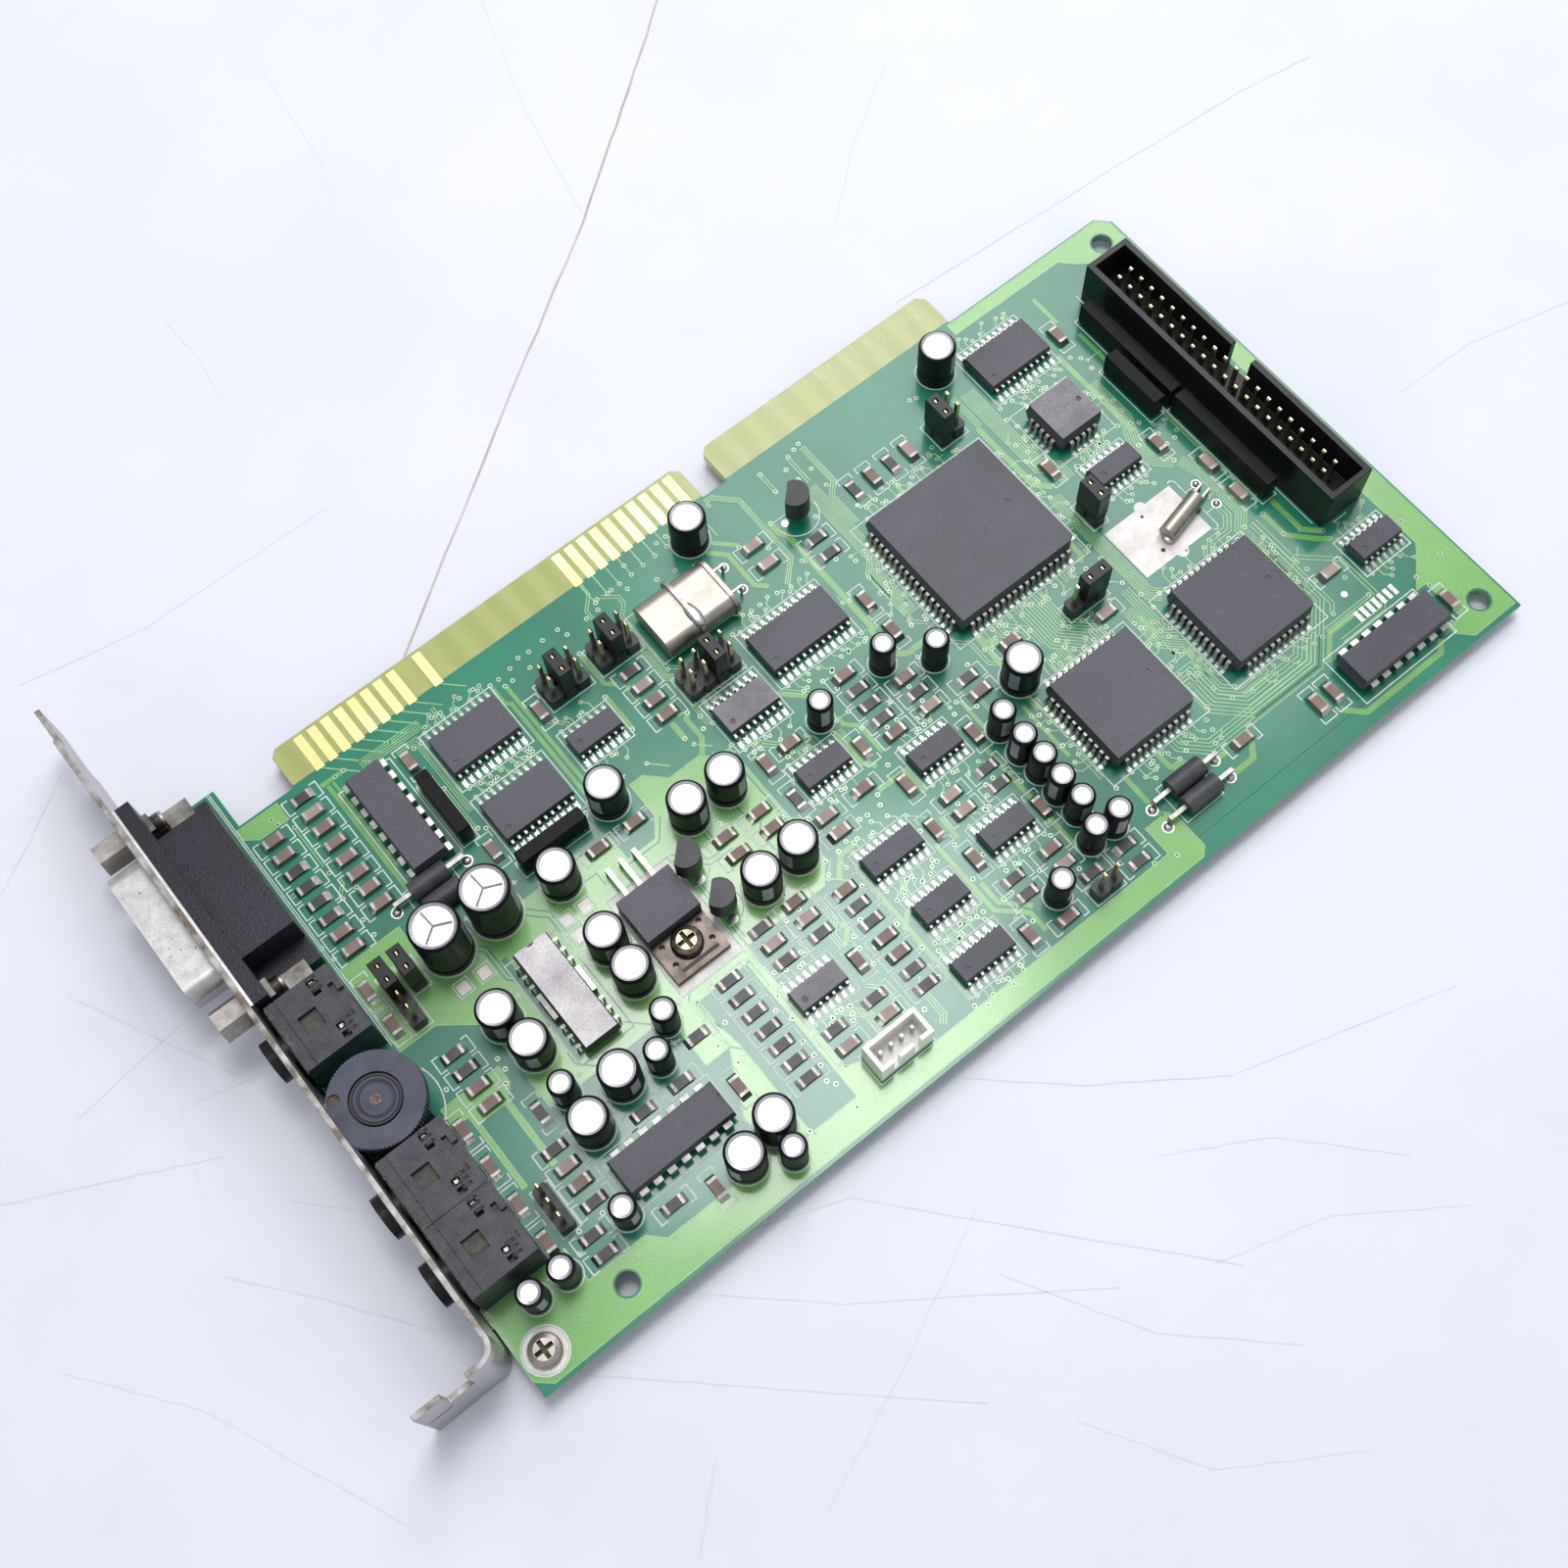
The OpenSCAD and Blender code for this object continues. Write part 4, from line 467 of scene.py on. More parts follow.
def dress_chips():
    for node in [*SOIC, *SQUARE, *DIP]:
        low, high = node_box(node)
        half = (high - low)[:2] / 2
        if node in SOIC:
            half[1] = SOIC[node] / 2
        elif node in SQUARE:
            half[:] = half[0] - SQUARE_LEAD
        else:
            half[np.argmin(half)] = DIP_BODY / 2
        dress_chip(node, *half)


# Places of capacitors of a paler batch
PALE = [
    (-2.65, -5.75), (-4.4, -75.1), (50.3, -21.2), (58.9, -56.9), (58.9, -60.2), (39.8, -67.8),
    (46.3, -67.8), (38.6, -87), (46.3, -87), (79.3, -12.7), (79.3, -16.8), (110.4, -15.1), (146.9, -48.4),
    (146.9, -55.6), (115.4, -58.3), (83.3, -52.8), (76, -66.4), (76, -69.6), (82, -85.9), (148, -75.6),
]
SMALL_END = 0.49


def dress_small(node, body_mat):
    """Small surface parts: the ends are tinned, the block between them has its own colour."""
    boxes = solids(node)
    lows = np.array([b[0] for b in boxes])
    highs = np.array([b[1] for b in boxes])
    centres = (lows + highs)[:, :2] / 2
    pale = [min(np.hypot(*(c - p)) for p in PALE) < 1 for c in centres]

    def choose(p, _):
        inside = (p[:2] > lows[:, :2] - EDGE_SLACK) & (p[:2] < highs[:, :2] + EDGE_SLACK)
        i = int(np.argmax(np.all(inside, axis=1)))
        size = highs[i] - lows[i]
        axis = 0 if size[0] > size[1] else 1
        depth = min(p[axis] - lows[i][axis], highs[i][axis] - p[axis])
        at_end = depth < SMALL_END and depth < size[axis] / 2 - 0.2
        return 1 if at_end else 2 * pale[i]

    dress(node, [body_mat, SMD_END, CERAMIC_PALE], choose)
    return boxes


def dress_cans(node, top=CAN_TOP):
    """A dark sleeve with a metal top inside its rim. Returns each can's centre, radius and height."""
    boxes = solids(node)
    tops = np.array([(b[0] + b[1]) / 2 for b in boxes])
    radii = np.array([(b[1][0] - b[0][0]) / 2 for b in boxes])
    height = boxes[0][1][2]
    rim = 0.5

    def choose(p, n):
        gap = np.hypot(*(tops[:, :2] - p[:2]).T)
        i = int(np.argmin(gap))
        return 1 if p[2] > height - rim and gap[i] < radii[i] - rim and n[2] > 0.5 else 0

    dress(node, [SLEEVE, top], choose)
    return [(t[0], t[1], r, height) for t, r in zip(tops, radii)]


# Nodes of one finish
PLAIN = {
    "circuit_board": LAMINATE, "edge_contacts": GOLD, "game_port_housing": PORT_BLACK,
    "game_port_shell": SHELL, "game_port_contacts": GOLD, "jackscrews": TARNISH, "port_board_locks": LOCK,
    "jack_contacts": TIN, "volume_pot": BLACK, "volume_shaft": TIN, "wheel_screw": RUSTY_SCREW,
    "header_shroud": GLOSS_BLACK, "square_pins": PALE_GOLD, "wafer_housing": NYLON, "wafer_pins": TIN,
    "crystal_can": CRYSTAL, "crystal_strap": TIN, "watch_crystal": CRYSTAL, "jumper_bases": BLACK,
    "jumper_caps": GLOSS_BLACK, "header_joints": SOLDER, "solder_joints": SOLDER,
}
# Widths of rounded edges
SOFT_EDGES = {"bracket": 0.12, "header_shroud": 0.15, "game_port_housing": 0.2, "jackscrews": 0.25,
              "jumper_caps": 0.15}
# X of the bracket's inner face
BRACKET_FACE = -26.3
# Heights under which a part has leads only
TRANSISTOR_SEAT = 2.55
NETWORK_SEAT = 0.45
# Lengths of the regulator's tab and of its body, from its far end
TAB_LENGTH = 6
REGULATOR_BODY = 8.05
# Half the length of a choke's bead, between its leads
BEAD_HALF = 3.3
# Radius and depth of the cross recess
SCREW_RECESS = (1.35, 0.5)
# Inner radii of the dusty groove and of the dark ring of painted shade in the wheel's top
GROOVE_RADIUS, RING_RADIUS = 4.5, 3.6


def dress_screws():
    radius, depth = SCREW_RECESS
    screws = [((b[0] + b[1]) / 2, b[1][2] - depth) for b in solids("pan_head_screws")]

    def choose(p, n):
        axis, recess = min(screws, key=lambda s: np.hypot(*(p - s[0])[:2]))
        # Faces in the cross recess take painted shade
        if np.hypot(*(p - axis)[:2]) < radius and (p[2] < recess or abs(n[2]) < 0.3):
            return 1
        return 2 if axis[0] < 0 else 0

    dress("pan_head_screws", [NICKEL, RECESS_SHADE, TARNISH], choose)


def dress_wheel():
    """Under the wheel's rim, a dusty groove and a dark ring of painted shade lie round its glossy hub."""
    top = node_box("volume_wheel")[1][2]
    axis = middle("volume_wheel")

    def choose(p, n):
        if n[2] < 0.9 or p[2] > top - 0.2:
            return 0
        gap = np.hypot(p[0] - axis[0], p[1] - axis[1])
        return 2 if gap > GROOVE_RADIUS else 1 if gap > RING_RADIUS else 3

    dress("volume_wheel", [WHEEL_GREY, GLOSS_BLACK, RUST, HUB], choose)


def dress_regulator():
    far = node_box("regulator")[1][1]

    def choose(p, n):
        if p[1] > far - TAB_LENGTH + 0.05:
            return 1
        return 0 if p[1] > far - TAB_LENGTH - REGULATOR_BODY and p[2] > 0.05 else 2

    dress("regulator", [EPOXY, TIN, TAB], choose)


def dress_beads():
    centres = np.array([(b[0] + b[1]) / 2 for b in solids("choke_beads")])

    def choose(p, n):
        i = int(np.argmin(np.hypot(*(centres[:, :2] - p[:2]).T)))
        return 0 if abs(p[0] - centres[i][0]) < BEAD_HALF else 1

    dress("choke_beads", [FERRITE, TIN], choose)


def dress_all():
    for node, mat in PLAIN.items():
        dress(node, [mat])
    # The bracket's up-facing faces are darkened with painted shade and carry brown stains
    dress("bracket", [STEEL, EDGE_STAIN_AND_SHADE], lambda p, n: 1 if n[2] > 0.9 and p[2] > 5 else 0)
    for node in JACKS:
        dress(node, [DUSTY, GLOSS_BLACK], lambda p, n: 1 if p[0] < BRACKET_FACE else 0)
    dress("small_transistors", [BLACK, TIN], lambda p, n: 1 if p[2] < TRANSISTOR_SEAT else 0)
    dress("resistor_networks", [NETWORK, TIN], lambda p, n: 1 if p[2] < NETWORK_SEAT else 0)
    dress_screws()
    dress_wheel()
    dress_regulator()
    dress_beads()
    dress_chips()
    for node, width in SOFT_EDGES.items():
        soften(node, width)
    soften("resistor_networks", 1.0, 4)
    soften("circuit_board", 0.08, 1)


# Sheets of copper, mask, print and solder on the board, with their heights
copper = Sheet("copper_areas", COPPER, 0.012)
masked = Sheet("masked_areas", MASKED_GREEN, 0.018)
gaps = Sheet("copper_gaps", MASKED_GREEN, 0.024)
tracks = Sheet("wide_tracks", TRACK, 0.03)
trace = Sheet("fine_traces", TRACE, 0.036)
tinned = Sheet("tinned_areas", TINNED, 0.042)
via_rims = Sheet("via_rims", VIA, 0.048)
via_holes = Sheet("via_holes", HOLE_SHADE, 0.054)
holes = Sheet("shaded_holes", HOLE_SHADE, 0.05)
silk = Sheet("silk_marks", SILK, 0.06)
pads = Sheet("solder_pads", SOLDER, 0.066)
# Widths of printed lines
INK = 0.22
FINE_INK = 0.18
# Widths of traces
FINE_TRACE = 0.2
LEAD_TRACE = 0.22
CONTACT_TRACE = 0.24
# Half widths of solder pads
SMALL_PAD = 0.85
LEAD_PAD = 0.32
# Half width and half length of a small part's printed corners, and the length of their arms
CORNER_W, CORNER_L, CORNER_ARM = 1.3, 3.15, 1.1


def via(x, y, r=0.42):
    via_rims.disc(x, y, r)
    # The via's dark centre is painted shade of its hole
    via_holes.disc(x, y, r * 0.42, 8)


def corner_marks(cx, cy, upright):
    """Two brackets, one at each end of a small part."""
    for side in (-1, 1):
        inner, outer = side * (CORNER_L - CORNER_ARM), side * CORNER_L
        line = [(inner, CORNER_W), (outer, CORNER_W), (outer, -CORNER_W), (inner, -CORNER_W)]
        if upright:
            line = [(y, x) for x, y in line]
        silk.stroke([(cx + x, cy + y) for x, y in line], INK)


def small_part_marks(boxes, top):
    """Printed corners round small parts, and the solder at their ends."""
    for low, high in boxes:
        size = high - low
        upright = bool(size[1] > size[0])
        cx, cy = ((low + high) / 2)[:2]
        corner_marks(cx, cy, upright)
        half = max(size[:2]) / 2
        for side in (-1, 1):
            near, far = sorted((side * (half - EDGE_SLACK), side * (half + 0.55)))
            x, y = ((-SMALL_PAD, SMALL_PAD), (near, far))[::1 if upright else -1]
            pads.fillet(cx + x[0], cy + y[0], cx + x[1], cy + y[1], upright, side, 0.08, top * 0.8)


def chip_marks():
    """Printed outlines, solder and short traces round the chips."""
    rng = random.Random(5)
    for node, width in SOIC.items():
        low, high = node_box(node)
        silk.surround(low, high, 0.5, 0.9, INK)
        side = rng.choice((-1, 1))
        length = high[0] - low[0] - (0.1 if width == WIDE else 0)
        count = 8 if width == MEDIUM else round(length / PITCH)
        for i in range(count):
            x = (low[0] + high[0]) / 2 + (i - (count - 1) / 2) * PITCH
            for edge, way in ((low[1], -1), (high[1], 1)):
                y0, y1 = sorted((edge - way * 0.75, edge + way * 0.55))
                pads.fillet(x - LEAD_PAD, y0, x + LEAD_PAD, y1, True, way, 0.07, 0.2)
                fan(x, edge + way * 0.5, 0, way, i, side)
    for node, count in SQUARE.items():
        low, high = node_box(node)
        cx, cy = ((low + high) / 2)[:2]
        half = (high[0] - low[0]) / 2
        reach = half + 1.1
        silk.outline(cx - reach, cy - reach, cx + reach, cy + reach, INK)
        side = rng.choice((-1, 1))
        for i in range(count):
            d = (i - (count - 1) / 2) * PITCH
            for ux, uy in ((1, 0), (-1, 0), (0, 1), (0, -1)):
                px, py = cx + ux * half + abs(uy) * d, cy + uy * half + abs(ux) * d
                half_x, half_y = (0.8, 0.36) if ux else (0.36, 0.8)
                pads.wedge(px - half_x, py - half_y, px + half_x, py + half_y, [0.09] * 4)
                fan(px + ux * 0.6, py + uy * 0.6, ux, uy, i, side, 2.8)
    for node in DIP:
        low, high = node_box(node)
        gap_x, gap_y = (0.4, 0.9) if high[0] - low[0] > high[1] - low[1] else (0.9, 0.4)
        silk.surround(low, high, gap_x, gap_y, INK)


def fan(x, y, ux, uy, i, side, reach=1.6):
    """A short trace from lead i, bent to one side of its row, that ends in a via."""
    if (i * 5 + 2) % 8 == 0:
        return
    first = 0.5 + reach * ((i * 3) % 4) / 4
    end = (x + ux * first, y + uy * first)
    line = [(x, y), end]
    if i % 3:
        bend = 0.6 + 0.35 * (i % 2)
        end = (end[0] + ux * bend + abs(uy) * bend * side, end[1] + uy * bend + abs(ux) * bend * side)
        line.append(end)
    trace.stroke(line, LEAD_TRACE)
    if end[1] > -98 and abs(end[0]) < 165:
        via(*end, 0.38)


# Height at which a can's stripe starts, and its distance from the can's top
STRIPE_START, STRIPE_END = 2.3, 0.65
STRIPE_LIFT = 0.03


def can_marks(cans):
    """A printed ring with a plus beside each can, and a pale stripe down its sleeve: its print, which also
    stands in for the sleeve's highlight.
    """
    stripe = Sheet("can_stripes", finish("stripe_ink_and_highlight", (168, 168, 176), (146, 146, 154), (0.35, 0.45)))
    rng = random.Random(11)
    steps = 6
    for x, y, r, h in cans:
        silk.arc(x, y, r + 0.28, INK)
        plus_x, plus_y = x + r + 1, y + r * 0.6
        silk.stroke([(plus_x - 0.5, plus_y), (plus_x + 0.5, plus_y)], INK)
        silk.stroke([(plus_x, plus_y - 0.5), (plus_x, plus_y + 0.5)], INK)
        turn = rng.choice((200, 250, 290, 330)) + rng.uniform(-10, 10)
        half = 16 if r > 3 else 20
        start = len(stripe.points)
        for k in range(steps + 1):
            a = math.radians(turn - half + 2 * half * k / steps)
            px, py = x + (r + STRIPE_LIFT) * math.cos(a), y + (r + STRIPE_LIFT) * math.sin(a)
            stripe.points += [(px, py, STRIPE_START), (px, py, h - STRIPE_END)]
        for k in range(start, start + 2 * steps, 2):
            stripe.faces.append([k, k + 2, k + 3, k + 1])
    stripe.build(smooth=True)


# Y at which the contacts' traces start. Up to the first X they bend, and up to the second they end early
TRACE_START = 0.2
BENT_UNTIL, SHORT_UNTIL = 30, 62


def finger_traces():
    """A trace leaves each contact and bends off towards the chips."""
    for low, high in solids("edge_contacts"):
        if low[2] < -0.5:
            continue
        x = (low[0] + high[0]) / 2
        drop = 1.2 + 2.4 * ((x * 0.37) % 1)
        if x < BENT_UNTIL:
            trace.stroke([(x, TRACE_START), (x + 1, -0.9), (x + 1 + drop, -0.9 - drop)], CONTACT_TRACE)
        elif x < SHORT_UNTIL or drop > 2:
            trace.stroke([(x, TRACE_START), (x, -1.4 - drop)], CONTACT_TRACE)
            via(x, -1.4 - drop)
        else:
            trace.stroke([(x, TRACE_START), (x, -7.3)], CONTACT_TRACE)


# Copper under the mask. All places are in mm on the board, read off and rounded
FILLS = [
    [(-13.6, -0.5), (-6.2, -0.5), (-6.2, -4), (-11.5, -4), (-13.6, -2.4)], [(-13.7, -29.4), (-2.8, -29.4),
    (-2.8, -38), (38.5, -38), (38.5, -33.2), (41, -33.2), (44, -36.2), (50, -36.2), (52, -38.2),
    (54.5, -38.2), (54.5, -62), (51.5, -65.4), (36.5, -65.4), (36.5, -67.5), (24.8, -67.5), (24.8, -76),
    (20.5, -76), (20.5, -66.5), (-1.2, -66.5), (-1.2, -50.3), (-7.2, -45.6), (-13.7, -45.6)], [(-14, -56.6),
    (-3.6, -56.6), (-3.6, -59.6), (-5.2, -61.4), (-5.2, -73.6), (-6.1, -73.6), (-6.1, -61.8),
    (-10.6, -61.8), (-10.6, -73.6), (-11.4, -73.6), (-11.4, -60), (-14, -60)], [(-25.9, -84.4),
    (-11.6, -84.4), (-11.6, -90), (-1.6, -90), (0.8, -92.4), (17, -92.4), (20, -89.6), (20, -85.6),
    (23, -79.5), (24.8, -76), (24.8, -67.5), (26.2, -76.5), (26.2, -93.6), (34.8, -93.6), (34.8, -66),
    (36.2, -66), (36.2, -89), (38.8, -90), (38.8, -94.6), (95.5, -94.6), (95.5, -89.4), (99.4, -89.4),
    (100.7, -90.6), (100.7, -97), (99.3, -98.3), (-23.6, -98.3), (-25.9, -96.3)], [(131.5, -0.4),
    (165.2, -0.4), (167, -2.2), (167, -98.2), (158, -98.2), (155.8, -96), (155.8, -94.6), (158.6, -94.6),
    (158.6, -86.8), (156.4, -86.8), (161.5, -81.8), (162.6, -80.5), (162.6, -68.5), (164, -66), (164, -8),
    (161, -8), (157, -5.2), (154.6, -2.7), (131.5, -2.7)],
]
MASKED = [
    [(31, -36.2), (38.5, -36.2), (38.5, -39.4), (36.2, -42.8), (31, -42.8)], [(16.2, -30.2), (22, -30.2),
    (22, -36), (16.2, -36)], [(0.4, -76), (7, -76), (7, -73), (12, -73), (12, -76), (19.6, -76),
    (19.6, -72), (4, -72)], [(27.6, -89.8), (31, -89.8), (33.4, -91), (33.4, -93), (27.6, -93)],
    [(6.2, -43.6), (7.2, -43.6), (7.2, -63.6), (6.2, -63.6)], [(56, -36.4), (66.5, -36.4), (66.5, -38.6),
    (56, -38.6)],
]
GAPS = [
    [(3.2, -39), (5.1, -41), (5.1, -46.6), (6.6, -48)], [(4.4, -39), (5.8, -40.6), (5.8, -46.4),
    (7, -47.6)], [(13.2, -40), (15.9, -42.8), (15.9, -46)], [(14, -39.4), (16.6, -42.1), (16.6, -46)],
    [(17.5, -41.6), (25.8, -41.6), (25.8, -44)], [(30.6, -43.6), (36.4, -43.6), (39, -40.4)], [(35.6, -47),
    (40.2, -51.6), (44.6, -51.6)], [(36.4, -46.4), (40.8, -50.8), (44.6, -50.8)], [(42.5, -43.8),
    (42.5, -48.5)], [(49.2, -46.6), (49.2, -48.5)], [(43.2, -44.6), (43.2, -48.5)], [(50.6, -51),
    (49.4, -52.2), (49.4, -56)], [(19, -67), (15, -63)], [(1, -64.5), (-0.4, -65.8)], [(36.6, -52.4),
    (36.6, -64)], [(37.2, -52.4), (37.2, -64)], [(0.8, -91.2), (2, -92.4), (9.6, -92.4)], [(-1.9, -89),
    (1.4, -91.6), (9.6, -91.6)], [(24.4, -66.6), (27, -64), (36, -64)], [(8, -66), (5.6, -63.6),
    (5.6, -61.4)], [(54.5, -40), (54.5, -61)], [(53.8, -40), (53.8, -61)], [(20.4, -88), (26.6, -88),
    (26.6, -94)], [(24.9, -68), (24.9, -76), (26.2, -77.4), (26.2, -93)], [(35.4, -67), (35.4, -72),
    (34.4, -73), (34.4, -88)],
]
# Wide tracks: each has its width, then its points
TRACKS = [
    (0.8, [(0.8, -2.6), (5.4, -2.6)]), (0.75, [(1.7, -3.2), (1.7, -25.6)]), (0.5, [(2.7, -3.2),
    (2.7, -21)]), (0.7, [(31.5, -5.4), (31.5, -9.4), (32.3, -10.2), (32.3, -30)]), (0.7, [(33.4, -7),
    (33.4, -29)]), (0.8, [(45.9, -10), (45.9, -16.8), (47.3, -18.2)]), (1, [(44.6, -18.7), (44.6, -26)]),
    (1, [(50, -29), (50, -32.5)]), (0.9, [(53, -29.2), (52.2, -30), (52.2, -34), (50.4, -36.4)]),
    (0.9, [(48.4, -19.4), (48.4, -22.6)]), (0.9, [(51.9, -26), (51.9, -29)]), (0.9, [(72.8, -8.6),
    (75.3, -11.1), (75.3, -18.3), (76.9, -19.9)]), (0.8, [(74.6, -7.7), (77.8, -10.9)]), (1.1, [(84.3, -11),
    (84.3, -13.4), (85.1, -14.4), (85.1, -37)]), (0.8, [(83.9, -19.6), (84.6, -20.4)]), (1.1, [(85, -42.2),
    (86.6, -43.4), (92, -43.4)]), (0.9, [(84.6, -36), (84.6, -41)]), (0.9, [(66, -35.6), (69.6, -39.2)]),
    (0.8, [(70.8, -44.8), (70.8, -46.4), (72.6, -48.2), (72.6, -54)]), (0.9, [(68.8, -47), (68.8, -53.4),
    (70.4, -55.2)]), (0.9, [(67.9, -58.6), (73.4, -58.6), (73.4, -63.4)]), (0.9, [(54, -66), (56.6, -63),
    (59.6, -63)]), (0.8, [(69, -71), (69, -84.6), (73, -88.4), (73, -92)]), (0.8, [(70.3, -80), (70.3, -84),
    (74, -87.8)]), (0.8, [(72.4, -68), (72.4, -72.4)]), (0.9, [(85.4, -64), (85.4, -86)]),
    (0.7, [(87.6, -55), (87.6, -62)]), (0.7, [(94.6, -62), (94.6, -73)]), (0.9, [(98.8, -80.6),
    (98.8, -86.6)]), (0.9, [(105.4, -80.6), (105.4, -84.6)]), (1, [(105.4, -84.6), (107, -84.6),
    (108.6, -86.2)]), (1, [(112, -91.3), (116.4, -91.3), (118.2, -89)]), (1, [(109.6, -87.6),
    (114, -87.9)]), (0.9, [(131.4, -89.4), (131.4, -92.8)]), (1, [(132.6, -94), (135.4, -96.9),
    (151.6, -96.9), (153.4, -95.2)]), (0.8, [(136.8, -87), (140.6, -83.4), (146, -83.4)]),
    (1.1, [(122.2, -19), (122.2, -33), (124.4, -35.4)]), (1, [(141.8, -17), (141.8, -36)]),
    (1, [(147.4, -61), (147.4, -66), (151, -70), (153, -71.6)]), (1, [(150.2, -60), (150.2, -67),
    (152.6, -69.4)]), (0.9, [(119.6, -42), (119.6, -47.8), (118.6, -48.8)]), (0.9, [(97.4, -47.4),
    (97.4, -49.6), (99, -51.2)]), (0.9, [(97, -48), (96.2, -64)]), (0.8, [(56.6, -78.6), (59, -76.2)]),
    (0.7, [(57.2, -66), (57.2, -93)]), (0.9, [(119.3, -62), (119.3, -66)]), (0.8, [(146.2, -5.6),
    (146.2, -12)]), (0.8, [(147.6, -16), (147.6, -36)]), (0.9, [(6.6, -27), (6.6, -29.4)]),
    (0.8, [(48, -74.8), (50, -72.8), (50, -71.4)]), (0.7, [(13.8, -11), (12.8, -12), (12.8, -24)]),
    (0.8, [(104.8, -17.4), (104.8, -21)]),
]
# Bundles of traces: each has its number of lines, their pitch, then its points
BUNDLES = [
    (5, 0.42, [(7.6, -3.7), (19, -3.7)]), (2, 0.42, [(51.3, -8), (51.3, -4.6), (53.4, -2.4), (53.4, 0)]),
    (2, 0.5, [(54.6, -4), (56.9, -5.8), (56.9, -7.3), (55.2, -9), (55.2, -20.6), (56.6, -22)]),
    (4, 0.36, [(52.5, -15.4), (54, -16.9), (54, -22), (55.4, -23.4)]), (3, 0.4, [(54.6, -24), (54.6, -33)]),
    (3, 0.36, [(78.4, -1), (79.8, -1), (83, -4.3), (83, -18), (79.4, -21.6)]), (7, 0.4, [(93.4, -10),
    (93.4, -27), (91.6, -28.8), (91.6, -38)]), (3, 0.4, [(97.4, -3), (97.4, -11.4), (95.4, -13.4),
    (95.4, -20)]), (2, 0.5, [(94.2, -3), (94.2, -9)]), (2, 0.5, [(88.7, -2.8), (88.7, -6.8)]),
    (7, 0.42, [(125.3, -12.6), (125.3, -31), (127.4, -33.1), (127.4, -36)]), (3, 0.42, [(122.8, -12),
    (122.8, -19)]), (6, 0.42, [(123.3, -37), (123.3, -60), (124.8, -61.4)]), (3, 0.42, [(121, -33),
    (121, -38)]), (4, 0.5, [(120.7, -57), (120.7, -66.6), (122.6, -68)]), (5, 0.45, [(118.6, -60),
    (118.6, -67.4), (121.5, -70.3), (121.5, -77)]), (11, 0.55, [(107.4, -48), (107.4, -56), (110.6, -59.2),
    (110.6, -62)]), (8, 0.52, [(104.4, -58), (104.4, -62.4)]), (5, 0.52, [(115.6, -47.6), (115.6, -50)]),
    (5, 0.6, [(101.2, -47.6), (101.2, -50.4), (103, -52.2), (103, -56)]), (7, 0.66, [(116.8, -75),
    (118.2, -75), (118.2, -80.4), (122.2, -84.4), (134.4, -84.4), (137.6, -81.2)]), (5, 0.62, [(109.2, -81),
    (109.2, -82.4), (112.6, -85.8), (135, -85.8), (139.8, -81), (143, -77.8), (143, -66)]),
    (4, 0.55, [(120.4, -75.6), (120.4, -79.4), (122.8, -81.8), (128.4, -81.8)]), (5, 0.45, [(143.8, -45),
    (145, -49), (145, -58.4), (142.6, -60.8), (142.6, -75)]), (2, 0.6, [(144.6, -61), (144.6, -79.8),
    (143.4, -81)]), (3, 0.6, [(134.8, -62), (137.4, -59.4), (141, -59.4), (142.8, -57.4), (142.8, -55.4)]),
    (6, 0.42, [(142.6, -24.6), (142.6, -33), (140.4, -37.6), (140.4, -42), (143, -44.6)]),
    (3, 0.42, [(148.3, -58), (148.3, -36)]), (2, 0.7, [(145.4, -61), (145.4, -69.6), (151.2, -75),
    (151.2, -83)]), (3, 0.5, [(140.4, -82.8), (142, -82.8), (150.6, -82.8)]), (2, 0.6, [(141.2, -85.6),
    (150.2, -85.6), (151.4, -84.4)]), (3, 0.5, [(164.6, -68), (164.6, -83.6)]), (3, 0.45, [(62, -72),
    (60, -74), (60, -76)]), (2, 0.45, [(59.4, -83.6), (66, -83.6), (67.6, -82)]), (3, 0.4, [(69.6, -46.6),
    (69.6, -54)]), (2, 0.5, [(92, -45), (95.4, -48.4), (95.4, -53), (97, -54.6)]), (2, 0.5, [(90.8, -36),
    (90.8, -39.6), (92.6, -41.4)]), (2, 0.5, [(90.6, -28), (90.6, -34)]), (3, 0.42, [(96.8, -63),
    (96.8, -70), (99, -70)]), (2, 0.5, [(96, -79), (96, -73.6), (97.6, -72)]), (2, 0.5, [(98, -88),
    (100, -90)]), (2, 0.5, [(34.6, -16), (37.2, -18.6), (37.2, -19.4)]), (3, 0.5, [(56.6, -38.6),
    (58.8, -40.8), (63, -45), (63, -47)]), (2, 0.5, [(67.2, -36), (71.8, -40.6)]), (2, 0.5, [(46.4, -81.4),
    (48.4, -83.4), (48.4, -89)]), (4, 0.42, [(35.7, -89.4), (35.7, -66.6)]), (4, 0.42, [(24.9, -76),
    (24.9, -67.6), (26, -66.4), (33, -66.4)]), (3, 0.42, [(25.6, -78), (25.6, -92.8)]),
    (3, 0.45, [(49.4, -66), (49.4, -70.4), (47.6, -72.2), (47.6, -74.6)]), (2, 0.5, [(22, -6.2),
    (22, -2.6)]), (3, 0.42, [(13.2, -5.6), (16.8, -5.6), (16.8, -21)]), (2, 0.45, [(15.6, -14.8),
    (15.6, -24)]), (2, 0.45, [(-6.1, -5.8), (-6.1, -14)]), (2, 0.45, [(-7, -19.6), (-5.6, -18.2),
    (-5.6, -17)]), (2, 0.5, [(-10.8, -15), (-13, -15)]), (4, 0.4, [(37.6, -81), (40, -81), (44, -85),
    (44, -88.6)]), (3, 0.45, [(51.6, -93.2), (52.6, -92.2), (52.6, -88)]), (2, 0.4, [(90.2, -56),
    (90.2, -60)]),
]
